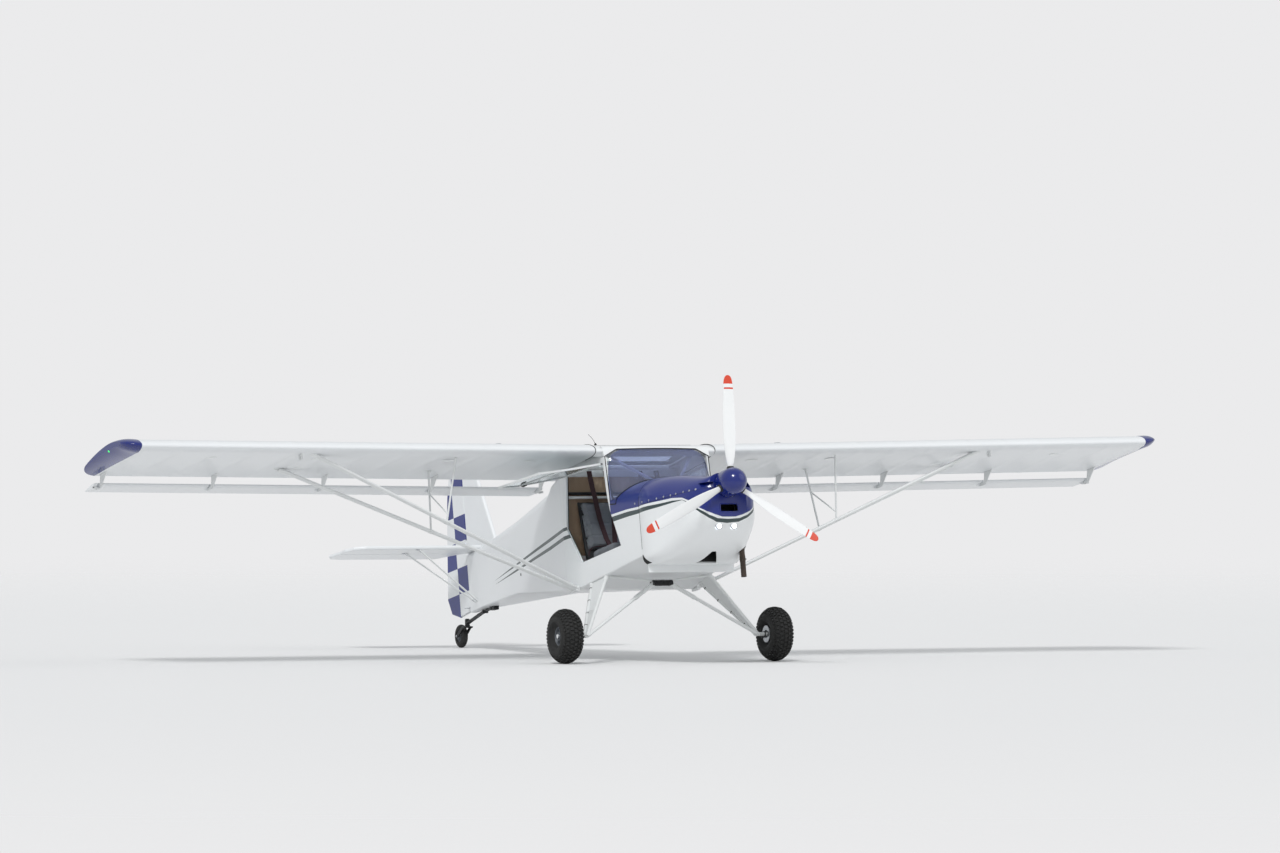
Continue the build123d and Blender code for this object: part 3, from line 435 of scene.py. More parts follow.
@dataclass(frozen=True)
class Livery:
    """Painted bands, checks and tips, placed in the airframe's axes.

    Args:
        stance: How the airframe stands in the frame.
    """

    stance: Stance

    # Height of each edge, in metres, at a distance from the middle plane; one line serves the side and the nose
    NAVY_EDGE = (
        (0, 0.768), (0.06, 0.769), (0.125, 0.786), (0.193, 0.816), (0.233, 0.844), (0.259, 0.872), (0.29, 0.925),
        (0.312, 0.962), (0.341, 0.983), (0.388, 0.99), (0.427, 0.995), (0.443, 1.006), (0.5, 1.011), (1, 1.011),
    )
    PIN_EDGE = (
        (0, 0.752), (0.1, 0.758), (0.171, 0.785), (0.193, 0.8), (0.233, 0.83), (0.259, 0.857), (0.29, 0.908),
        (0.312, 0.945), (0.341, 0.961), (0.388, 0.967), (0.427, 0.975), (0.443, 0.985), (0.5, 0.991), (1, 0.991),
    )
    DARK_EDGE = (
        (0, 0.724), (0.1, 0.732), (0.171, 0.762), (0.202, 0.783), (0.233, 0.806), (0.259, 0.838), (0.29, 0.899),
        (0.312, 0.942), (0.341, 0.944), (0.388, 0.94), (0.427, 0.94), (0.443, 0.945), (0.5, 0.947), (1, 0.947),
    )
    # The two rear stripes: height of each edge, in metres, at a quarter of the station in metres
    REAR_EDGES = (
        ((0, 1.035), (0.19, 1.035), (0.31, 1.026), (0.42, 1.018), (0.625, 0.998), (0.765, 0.982), (1, 0.96)),
        ((0, 1.007), (0.19, 1.007), (0.31, 0.997), (0.42, 0.994), (0.615, 0.984), (0.765, 0.981), (1, 0.97)),
        ((0, 0.966), (0.19, 0.966), (0.31, 0.958), (0.42, 0.958), (0.6, 0.955), (0.765, 0.948), (1, 0.93)),
        ((0, 0.934), (0.19, 0.934), (0.31, 0.928), (0.42, 0.933), (0.6, 0.938), (0.765, 0.947), (1, 0.94)),
    )
    # Stations, in metres, where the nose's bands end and where the rear stripes start and end
    NOSE_END, REAR_START, REAR_END = 0.012, 0.5, 3.06
    STATION_SCALE = 4.0
    # Rudder's checks: height of the lowest row, height of one row and station of the line between the columns
    CHECK_LOW, CHECK_TALL, CHECK_MIDDLE = 0.83, 0.2205, 4.185
    # Blades: height of the hub, then distance out to the red tip and to both edges of the thin line
    HUB_Z, TIP_FROM, LINE_FROM, LINE_TO = 1.037, 0.812, 0.768, 0.782

    def axes(self, tree: Tree) -> list[Socket]:
        """Reads the airframe's X, Y and Z, in metres, from the Object coordinates."""
        place = add_node(tree, "ShaderNodeTexCoord").outputs["Object"]
        turned = add_node(
            tree,
            "ShaderNodeMapping",
            {"Vector": place, "Location": self.stance.shift, "Rotation": (-math.radians(self.stance.attitude), 0, 0)},
            vector_type="TEXTURE",
        )
        return list(add_node(tree, "ShaderNodeSeparateXYZ", {0: turned.outputs[0]}).outputs)

    def over(self, tree: Tree, share: object, below: object, code: str) -> Socket:
        """Lays a paint colour over what is below, where share is 1."""
        return blend(tree, share, below, linear(code))

    def body(self, tree: Tree, colour: object) -> Socket:
        """Navy over the nose, a pinstripe and a dark stripe below it, and two dark stripes aft of the doors."""
        x, y, z = self.axes(tree)
        out = calc(tree, "ABSOLUTE", x)
        navy, pin, dark = (curve_of(tree, out, line) for line in (self.NAVY_EDGE, self.PIN_EDGE, self.DARK_EDGE))
        ahead = calc(tree, "LESS_THAN", y, self.NOSE_END)
        is_navy = calc(tree, "MULTIPLY", calc(tree, "GREATER_THAN", z, navy), ahead)
        in_dark = between(tree, z, dark, pin)
        is_dark = calc(tree, "MULTIPLY", in_dark, ahead)
        station = calc(tree, "DIVIDE", y, self.STATION_SCALE)
        tops = [curve_of(tree, station, line) for line in self.REAR_EDGES]
        aft = between(tree, y, self.REAR_START, self.REAR_END)
        for high, low in ((0, 1), (2, 3)):
            band = between(tree, z, tops[low], tops[high])
            is_dark = calc(tree, "MAXIMUM", is_dark, calc(tree, "MULTIPLY", band, aft))
        return self.over(tree, is_dark, self.over(tree, is_navy, colour, NAVY), STRIPE)

    def tub(self, tree: Tree, colour: object) -> Socket:
        """The body's paint on the outer skin of the cabin alone; its inside stays plain."""
        x, y, _ = self.axes(tree)
        skin = calc(tree, "MULTIPLY_ADD", y, LINES.side_slope, (LINES.side_x(0) - 5) * MM)
        outside = calc(tree, "GREATER_THAN", calc(tree, "ABSOLUTE", x), skin)
        return blend(tree, outside, colour, self.body(tree, colour))

    def checks(self, tree: Tree, colour: object) -> Socket:
        """Two columns of navy and white checks on the rudder, their rows level with the fuselage."""
        _, y, z = self.axes(tree)
        row = calc(tree, "FLOOR", calc(tree, "DIVIDE", calc(tree, "SUBTRACT", z, self.CHECK_LOW), self.CHECK_TALL))
        column = calc(tree, "GREATER_THAN", y, self.CHECK_MIDDLE)
        parity = calc(tree, "PINGPONG", calc(tree, "ADD", row, column), 1.0)
        return self.over(tree, parity, colour, NAVY)

    def blade(self, tree: Tree, colour: object) -> Socket:
        """Orange-red tip, white gap and thin red line, by distance from the hub."""
        x, _, z = self.axes(tree)
        up = calc(tree, "SUBTRACT", z, self.HUB_Z)
        reach = calc(tree, "SQRT", calc(tree, "ADD", calc(tree, "MULTIPLY", x, x), calc(tree, "MULTIPLY", up, up)))
        tip = calc(tree, "GREATER_THAN", reach, self.TIP_FROM)
        line = between(tree, reach, self.LINE_FROM, self.LINE_TO)
        return self.over(tree, calc(tree, "MAXIMUM", tip, line), colour, TIP_RED)


class Wardrobe:
    """Every finish that a piece wears, made once each."""

    def __init__(self, stance: Stance) -> None:
        """Keeps the livery that the painted finishes share."""
        self.livery = Livery(stance)
        self._made: dict[str, bpy.types.Material] = {}

    def get(self, finish: Finish, paint: str = "") -> bpy.types.Material:
        """Returns a finish's material, made the first time that it is asked for.

        Args:
            finish: The finish.
            paint: Name of the livery's method that is painted over it.

        Returns:
            The material.
        """
        key = finish.name + ("_" + paint if paint else "")
        if key not in self._made:
            painter = getattr(self.livery, paint) if paint else None
            self._made[key] = finish.make(painter, "_" + paint if paint else "")
        return self._made[key]

    def dress(self, piece: Piece, finish: Finish, paint: str = "") -> None:
        """Puts one finish all over a piece."""
        piece.data.materials.clear()
        piece.data.materials.append(self.get(finish, paint))


@dataclass
class FrameFinishes:
    """Finishes of the CAD nodes that stay in view.

    Args:
        wardrobe: The finishes.
        nodes: The frame's nodes by name.
    """

    wardrobe: Wardrobe
    nodes: dict[str, Piece]

    # Finish, paint and the nodes that wear them, by their names without the side
    ROWS = (
        (WHITE_PAINT, "tub", "cabin_tub"),
        (WHITE_PAINT, "body", "boot_cowl cowl_upper cowl_lower"),
        (WHITE_PAINT, "", "roof_fairing"),
        (WHITE_FABRIC, "body", "rear_fuselage"),
        (WHITE_FABRIC, "checks", "rudder"),
        (WHITE_FABRIC, "", "wing fin stabiliser elevator flaperon"),
        (TUBE_WHITE, "", "cabin_frame flaperon_hangers lift_struts jury_struts tie_down_rings"),
        (TUBE_WHITE, "", "gear_legs shock_struts tail_braces door_frame"),
        (NAVY_PAINT, "", "wing_tips spinner"),
        (BLADE_GELCOAT, "blade", "propeller_blades"),
        (TYRE_RUBBER, "", "tyre tail_wheel"),
        (SPRING_STEEL, "", "tail_spring tail_fork"),
        (SEAL_RUBBER, "", "gear_cabane"),
        (MILLED_ALUMINIUM, "", "wheel_rim"),
        (CAST_ALUMINIUM, "", "engine"),
        (SCORCHED_STEEL, "", "exhaust_pipe"),
        (GLINT_LENS, "", "landing_lights"),
        (SKY_SHEEN_SHEET, "", "windscreen"),
        (CLEAR_SHEET, "", "skylight door_glass"),
        (BLACK_ABS, "", "instrument_panel control_sticks"),
        (GREY_CLOTH, "", "seats"),
    )

    def build(self) -> None:
        """Dresses each node by its name without the side."""
        wear = {name: (finish, paint) for finish, paint, names in self.ROWS for name in names.split()}
        for name, node in self.nodes.items():
            self.wardrobe.dress(node, *wear[name.removesuffix("_left").removesuffix("_right")])


@dataclass
class Bench:
    """Workbench: pieces are modelled in the airframe's axes, sized in mm, and delivered into the frame.

    Args:
        stance: How the airframe stands in the frame.
        wardrobe: The finishes.
        nodes: The frame's nodes by name.
    """

    stance: Stance
    wardrobe: Wardrobe
    nodes: dict[str, Piece]

    def clear(self) -> None:
        """Leaves nothing selected, so that an operator acts only on what comes next."""
        bpy.ops.object.select_all(action="DESELECT")

    def taken(self) -> Piece:
        """Returns the new primitive with its place made part of its mesh."""
        bpy.ops.object.transform_apply(location=True, rotation=True, scale=True)
        return bpy.context.object

    def focus(self, piece: Piece) -> None:
        """Makes a piece the only one selected, and active."""
        self.clear()
        piece.select_set(True)
        bpy.context.view_layer.objects.active = piece

    def edit(self, piece: Piece, *steps: Callable[[], object]) -> Piece:
        """Runs steps in edit mode with the whole piece selected.

        Args:
            piece: The piece to edit.
            *steps: Operators to call, in order.

        Returns:
            The piece.
        """
        self.focus(piece)
        bpy.ops.object.mode_set(mode="EDIT")
        bpy.ops.mesh.select_all(action="SELECT")
        for step in steps:
            step()
        bpy.ops.object.mode_set(mode="OBJECT")
        return piece

    def modify(self, piece: Piece, kind: str, **settings: object) -> Piece:
        """Adds a modifier and applies it."""
        modifier = piece.modifiers.new(kind.lower(), kind)
        for key, value in settings.items():
            setattr(modifier, key, value)
        self.focus(piece)
        bpy.ops.object.modifier_apply(modifier=modifier.name)
        return piece

    def soften(self, piece: Piece, width: float, segments: int = 2) -> Piece:
        """Rounds the sharp edges of a piece by a width in mm."""
        return self.modify(
            piece, "BEVEL", width=width * MM, segments=segments, limit_method="ANGLE", angle_limit=math.radians(30)
        )

    def outward(self, piece: Piece) -> Piece:
        """Turns every face of a piece outwards."""
        return self.edit(piece, lambda: bpy.ops.mesh.normals_make_consistent(inside=False))

    def thicken(self, piece: Piece, thickness: float, offset: float = 0) -> Piece:
        """Gives a sheet a thickness in mm."""
        return self.modify(piece, "SOLIDIFY", thickness=thickness * MM, offset=offset)

    def block(self, low: Point, high: Point, bevel: float = 1.5) -> Piece:
        """Box between two corners, its edges rounded by bevel."""
        low, high = Vector(low) * MM, Vector(high) * MM
        self.clear()
        bpy.ops.mesh.primitive_cube_add(size=1, location=(low + high) / 2)
        bpy.context.object.scale = high - low
        piece = self.taken()
        return self.soften(piece, bevel) if bevel else piece

    def rod(self, start: Point, end: Point, radius: float, end_radius: float | None = None, sides: int = 20) -> Piece:
        """Round bar, or taper, between two points."""
        a, b = Vector(start) * MM, Vector(end) * MM
        self.clear()
        bpy.ops.mesh.primitive_cone_add(
            vertices=sides,
            radius1=radius * MM,
            radius2=(radius if end_radius is None else end_radius) * MM,
            depth=(b - a).length,
            location=(a + b) / 2,
            rotation=(b - a).to_track_quat("Z", "Y").to_euler(),
        )
        return self.taken()

    def ball(self, centre: Point, size: Point, segments: int = 24) -> Piece:
        """Ellipsoid about a centre, with its three half sizes."""
        self.clear()
        bpy.ops.mesh.primitive_uv_sphere_add(
            segments=segments, ring_count=segments // 2, radius=1, location=Vector(centre) * MM
        )
        bpy.context.object.scale = Vector(size) * MM
        return self.taken()

    def lathe(self, profile: Sequence[Point], origin: Point = ZERO, axis: Point = UP, steps: int = 48) -> Piece:
        """Turns a line of (along, radius) points about an axis.

        Args:
            profile: The points, in mm.
            origin: Where along is 0.
            axis: Direction in which along grows.
            steps: Faces round the axis.

        Returns:
            The turned piece.
        """
        mesh = bpy.data.meshes.new("turned")
        points = [(radius * MM, 0, along * MM) for along, radius in profile]
        mesh.from_pydata(points, [(i, i + 1) for i in range(len(points) - 1)], [])
        piece = bpy.data.objects.new("turned", mesh)
        bpy.context.scene.collection.objects.link(piece)
        self.edit(
            piece,
            lambda: bpy.ops.mesh.spin(steps=steps, angle=math.tau, center=ZERO, axis=UP),
            lambda: bpy.ops.mesh.select_all(action="SELECT"),
            lambda: bpy.ops.mesh.remove_doubles(threshold=1e-6),
        )
        turn = Vector(axis).to_track_quat("Z", "Y").to_matrix().to_4x4()
        mesh.transform(Matrix.Translation(Vector(origin) * MM) @ turn)
        return piece

    def plate(
        self, outline: Sequence[Point], origin: Point, right: Point, up: Point, depth: float, bevel: float = 0.8
    ) -> Piece:
        """Flat plate from an outline.

        Args:
            outline: Corners, in mm, along right and up.
            origin: Where the outline's own zero lies.
            right: Direction of the first coordinate.
            up: Direction of the second coordinate.
            depth: Thickness, along right x up.
            bevel: Rounding of the edges.

        Returns:
            The plate.
        """
        right, up = Vector(right).normalized(), Vector(up).normalized()
        out = right.cross(up)
        mesh = bpy.data.meshes.new("plate")
        mesh.from_pydata([(Vector(origin) + right * a + up * b) * MM for a, b in outline], [], [range(len(outline))])
        piece = bpy.data.objects.new("plate", mesh)
        bpy.context.scene.collection.objects.link(piece)
        self.edit(piece, lambda: bpy.ops.mesh.extrude_region_move(TRANSFORM_OT_translate={"value": out * depth * MM}))
        return self.soften(piece, bevel) if bevel else piece

    def surface(self, place: Callable[[int, int], Point], columns: int, rows: int, fill: bool = True) -> Piece:
        """Grid whose points are put in place one by one, closed where its edges meet and over its open ends.

        Args:
            place: Gives a point in mm from its column and row.
            columns: Points one way.
            rows: Points the other way.
            fill: Whether open ends are closed.

        Returns:
            The surface.
        """
        self.clear()
        bpy.ops.mesh.primitive_grid_add(x_subdivisions=columns - 1, y_subdivisions=rows - 1, size=1)
        piece = self.taken()
        for vertex in piece.data.vertices:
            column, row = round((vertex.co.x + 0.5) * (columns - 1)), round((vertex.co.y + 0.5) * (rows - 1))
            vertex.co = Vector(place(column, row)) * MM
        self.edit(piece, lambda: bpy.ops.mesh.remove_doubles(threshold=1e-5))
        return self.edit(piece, lambda: bpy.ops.mesh.fill_holes(sides=0)) if fill else piece

    def tube(self, points: Sequence[Point], radius: float, closed: bool = False, smooth: bool = True) -> Piece:
        """Round tube along a line of points, made from a curve.

        Args:
            points: The line, in mm.
            radius: Radius of the tube.
            closed: Whether the end joins the start.
            smooth: Whether the line is a smooth one.

        Returns:
            The tube as a mesh.
        """
        curve = bpy.data.curves.new("tube", "CURVE")
        curve.dimensions = "3D"
        curve.bevel_depth = radius * MM
        curve.bevel_resolution = 3
        curve.use_fill_caps = True
        spline = curve.splines.new("NURBS" if smooth else "POLY")
        spline.points.add(len(points) - 1)
        for knot, point in zip(spline.points, points):
            knot.co = (*(Vector(point) * MM), 1)
        spline.use_cyclic_u = closed
        if smooth:
            spline.order_u = 3
            spline.use_endpoint_u = not closed
            spline.resolution_u = 6
        piece = bpy.data.objects.new("tube", curve)
        bpy.context.scene.collection.objects.link(piece)
        self.focus(piece)
        bpy.ops.object.convert(target="MESH")
        return bpy.context.object

    def copy(self, piece: Piece, matrix: Matrix) -> Piece:
        """Copies a piece with a mesh of its own, moved by a matrix."""
        other = piece.copy()
        other.data = piece.data.copy()
        other.data.transform(matrix)
        if matrix.determinant() < 0:
            other.data.flip_normals()
        bpy.context.scene.collection.objects.link(other)
        return other

    def mirrored(self, piece: Piece) -> Piece:
        """Copies a piece to the other side of the aircraft."""
        return self.copy(piece, Matrix.Scale(-1, 4, ACROSS))

    def joined(self, pieces: Sequence[Piece], both: bool = False) -> Piece:
        """Joins pieces into one, with their mirror images too where both is set."""
        pieces = list(pieces)
        if both:
            pieces += [self.mirrored(piece) for piece in pieces]
        self.focus(pieces[0])
        for piece in pieces:
            piece.select_set(True)
        bpy.ops.object.join()
        return pieces[0]

    def row(self, piece: Piece, matrices: Sequence[Matrix]) -> Piece:
        """Repeats a piece modelled about the origin, once for each matrix in mm, as one piece."""
        copies = [self.copy(piece, self.metres(matrix)) for matrix in matrices]
        bpy.data.objects.remove(piece)
        return self.joined(copies)

    def metres(self, matrix: Matrix) -> Matrix:
        """Returns the matrix with its shift turned from mm to metres."""
        out = matrix.copy()
        out.translation = matrix.translation * MM
        return out

    def facing(self, point: Point, direction: Point) -> Matrix:
        """Matrix that puts the origin at a point, in mm, with Z along a direction."""
        return Matrix.Translation(Vector(point)) @ Vector(direction).to_track_quat("Z", "Y").to_matrix().to_4x4()

    def deliver(
        self,
        piece: Piece,
        name: str,
        finish: Finish,
        body: str = "airframe",
        paint: str = "",
        replaces: str = "",
        sharp: float = 35,
    ) -> Piece:
        """Moves a finished piece into the frame, dresses it and ties it to its body.

        Args:
            piece: The piece, modelled in the airframe's axes.
            name: The piece's name.
            finish: Its finish.
            body: The body that it rides on.
            paint: Name of a paint of the livery.
            replaces: The CAD node that it stands for.
            sharp: Angle, in degrees, above which an edge stays sharp.

        Returns:
            The piece.
        """
        piece.name = piece.data.name = name
        self.outward(piece)
        piece.data.transform(self.stance.matrix())
        self.focus(piece)
        bpy.ops.object.shade_smooth_by_angle(angle=math.radians(sharp))
        self.wardrobe.dress(piece, finish, paint)
        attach(piece, body)
        if replaces:
            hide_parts(replaces)
        LOG.info("%s: %d faces on %s", name, len(piece.data.polygons), body)
        return piece


@dataclass
class Skin:
    """Outer faces of CAD nodes, so that small parts sit on them.

    Args:
        stance: How the airframe stands in the frame.
        pieces: The CAD objects.
    """

    stance: Stance
    pieces: Sequence[Piece]

    # Distance, in mm, from which a panel's points are shot at the skin
    FAR = 2000

    def __post_init__(self) -> None:
        """Gathers the faces in the airframe's axes, in mm."""
        back = self.stance.matrix().inverted()
        points, faces = [], []
        for piece in self.pieces:
            start = len(points)
            points += [(back @ vertex.co) / MM for vertex in piece.data.vertices]
            faces += [[start + i for i in polygon.vertices] for polygon in piece.data.polygons]
        self.tree = BVHTree.FromPolygons(points, faces)

    def seat(self, start: Point, direction: Point) -> Matrix:
        """Shoots from outside and returns where it lands, with Z along the outward normal.

        Args:
            start: Point outside, in mm.
            direction: Direction to shoot in.

        Returns:
            Matrix in mm.
        """
        place, normal, _, _ = self.tree.ray_cast(Vector(start), Vector(direction).normalized())
        if place is None:
            raise ValueError(f"nothing to sit on from {tuple(start)}")
        if normal.dot(Vector(direction)) > 0:
            normal = -normal
        return Matrix.Translation(place) @ normal.to_track_quat("Z", "Y").to_matrix().to_4x4()

    def patch(
        self,
        bench: Bench,
        first: tuple[float, float],
        second: tuple[float, float],
        direction: Point,
        lift: float,
        columns: int,
        rows: int,
    ) -> Piece:
        """Thin panel that lies on the skin.

        Args:
            bench: Where the piece is made.
            first: Range across: X where the direction is up, down or along Y.
            second: Range the other way: Y where the direction is up or down, else Z.
            direction: Direction in which the skin is looked at.
            lift: How far the panel's face stands off the skin.
            columns: Points across.
            rows: Points the other way.

        Returns:
            The panel.
        """
        look = Vector(direction)

        def place(column: int, row: int) -> Point:
            a = first[0] + (first[1] - first[0]) * column / (columns - 1)
            b = second[0] + (second[1] - second[0]) * row / (rows - 1)
            start = Vector(
                (a, b, 0) if abs(look.z) > 0.5 else (a, 0, b) if abs(look.y) > 0.5 else (0, a, b)
            ) - look * self.FAR
            seat = self.seat(start, look)
            return seat @ Vector((0, 0, lift))

        panel = bench.surface(place, columns, rows, fill=False)
        bench.outward(panel)
        return bench.thicken(panel, lift + 0.6, -1 if self._faces_out(panel, look) else 1)

    def _faces_out(self, panel: Piece, look: Vector) -> bool:
        """Whether a panel's faces point back at the one who looks."""
        return sum((polygon.normal for polygon in panel.data.polygons), Vector()).dot(look) < 0


@dataclass(frozen=True)
class Lines:
    """Main lines of the airframe, in mm, which the small parts are set out from."""

    firewall_y: float = -450.0
    firewall_half: float = 425.0
    side_slope: float = 0.096
    keel: tuple[tuple[float, float], ...] = ((-450, 584), (650, 492), (2400, 755))
    wing_nose: tuple[float, float] = (49.0, 1546.0)
    wing_chord: float = 1070.0
    wing_root: float = 540.0
    wing_end: float = 4550.0
    incidence: float = math.radians(3.15)
    dihedral: float = math.radians(0.813)
    thickness: float = 0.125
    camber: float = 0.04
    camber_at: float = 0.4

    def side_x(self, y: float) -> float:
        """Half width of the flat cabin side at a station."""
        return self.firewall_half + self.side_slope * (y - self.firewall_y)

    def keel_at(self, y: float) -> float:
        """Height of the underside at a station."""
        (y0, z0), (y1, z1), (y2, z2) = self.keel
        if y < y1:
            return z0 + (z1 - z0) * (y - y0) / (y1 - y0)
        return z1 + (z2 - z1) * (y - y1) / (y2 - y1)

    def rise(self, x: float) -> float:
        """Climb of the wing at a span station."""
        return abs(x) * math.tan(self.dihedral)

    def under_wing(self, x: float, y: float) -> float:
        """Height of the wing's flat lower skin."""
        return self.wing_nose[1] + self.rise(x) - (y - self.wing_nose[0]) * math.tan(self.incidence)

    def section(self, along: float, upper: bool, inward: float = 0.0) -> tuple[float, float]:
        """Point on the wing's section.

        Args:
            along: Share of the chord, 0 at the nose.
            upper: Whether the point lies on the upper side.
            inward: How far inside the skin it lies.

        Returns:
            Distance aft of the nose and height above it, in mm.
        """
        c, m, p = along, self.camber, self.camber_at
        half = 5 * self.thickness * (
            0.2969 * math.sqrt(c) - 0.126 * c - 0.3516 * c**2 + 0.2843 * c**3 - 0.1015 * c**4
        )
        mean = m / p**2 * (2 * p * c - c * c) if c < p else m / (1 - p) ** 2 * (1 - 2 * p + 2 * p * c - c * c)
        up = (mean + (half if upper else -half)) * self.wing_chord - (inward if upper else -inward)
        aft = c * self.wing_chord
        return (
            aft * math.cos(self.incidence) + up * math.sin(self.incidence),
            up * math.cos(self.incidence) - aft * math.sin(self.incidence),
        )

    def wing_point(self, x: float, along: float, upper: bool, inward: float = 0.0) -> Point:
        """Point on the wing's skin at a span station."""
        aft, up = self.section(along, upper, inward)
        return x, self.wing_nose[0] + aft, self.wing_nose[1] + self.rise(x) + up

    def roof_z(self, y: float) -> float:
        """Height of the roof over the cabin at a station."""
        return self.wing_point(0, (y - 49) / 1068, True)[2]

    @property
    def side_way(self) -> Vector:
        """Direction aft along the port cabin side."""
        return Vector((self.side_slope, 1, 0)).normalized()

    @property
    def side_out(self) -> Vector:
        """Outward direction of the port cabin side."""
        return Vector((1, -self.side_slope, 0)).normalized()

    def strut(self, rear: bool = False) -> tuple[Vector, Vector]:
        """Foot and head of a port lift strut."""
        foot_y, head_y = (670.0, 790.0) if rear else (615.0, 165.0)
        foot = Vector((self.side_x(foot_y) + 20, foot_y, self.keel_at(foot_y) + 2))
        return foot, Vector((3060.0, head_y, self.under_wing(3060, head_y) - 10))

    def scuttle(self, x: float, y: float, inward: float = 0.0) -> float:
        """Height of the scuttle's skin ahead of the doors."""
        share = (y - self.firewall_y) / 510
        top, drop, run = 1228 + 62 * share - inward, 200 - 10 * share - inward, 200 + 200 * share - inward
        past = abs(x) - (self.side_x(y) - inward - run)
        if past <= 0:
            return top
        return top - drop + drop * math.sqrt(max(0.0, 1 - (past / run) ** 2))

    def screen(self, x: float, z: float, inward: float = 0.0) -> float:
        """Station of the windscreen at a distance from the middle plane and a height."""
        share = (z - 1120) / 500
        centre, post = -426 + 498 * share + inward, 27 + 51 * share
        half = self.side_x(post) - inward - 0.5
        rise = post - centre
        radius = (half * half + rise * rise) / (2 * rise)
        return centre + radius - math.sqrt(max(0.0, radius * radius - x * x))


LINES = Lines()


def spoke(angle: float) -> Vector:
    """Direction at an angle, in radians, in the plane across the aircraft; 0 points to port."""
    return Vector((math.cos(angle), 0, math.sin(angle)))


def both_sides(half: Sequence[Point]) -> list[Point]:
    """Closed section of a wheel's part from its one half, given as (across, radius) from the bore."""
    whole = [(-x, r) for x, r in half] + [(x, r) for x, r in reversed(half) if x]
    return whole + whole[:1]


class Assembly(Bench):
    """Bench of one group of pieces, with its small hardware modelled about the origin, Z pointing out."""

    def bolt(self, radius: float) -> Piece:
        """Hexagon bolt head on a washer."""
        washer = self.lathe(
            [
                (0, 0), (0, radius * 1.35), (radius * 0.22, radius * 1.35), (radius * 0.3, radius * 1.2),
                (radius * 0.3, 0),
            ],
            steps=20,
        )
        head = self.rod((0, 0, radius * 0.2), (0, 0, radius), radius, sides=6)
        self.soften(head, radius * 0.1, 1)
        return self.joined([washer, head])

    def stud(self, radius: float) -> Piece:
        """Quarter-turn stud: a shallow dish with a raised slotted head."""
        return self.lathe(
            [
                (-0.5, 0), (-0.5, radius), (0.9, radius), (1.3, radius * 0.92), (0.8, radius * 0.74),
                (0.9, radius * 0.6), (2.4, radius * 0.55), (2.8, radius * 0.4), (2.9, 0),
            ],
            steps=20,
        )

    def screw(self, radius: float) -> Piece:
        """Small round-headed screw."""
        return self.lathe(
            [
                (-0.3, 0), (-0.3, radius), (radius * 0.25, radius * 0.9), (radius * 0.5, radius * 0.5),
                (radius * 0.45, 0),
            ],
            steps=16,
        )

    def fit(self, pieces: Sequence[Piece], name: str, finish: Finish, both: bool = False, **more: object) -> Piece:
        """Joins pieces, with their mirror images too where both is set, and delivers them as one."""
        return self.deliver(self.joined(pieces, both), name, finish, **more)

    def bolts(self, radius: float, seats: Sequence[tuple[Point, Point]]) -> Piece:
        """Bolt heads of one size, each at a point and facing a direction."""
        return self.row(self.bolt(radius), [self.facing(*seat) for seat in seats])

    def sided(self, piece: Piece, side: Side) -> Piece:
        """Turns a port piece into the same piece of a side."""
        if side is Side.PORT:
            return piece
        other = self.mirrored(piece)
        bpy.data.objects.remove(piece)
        return other


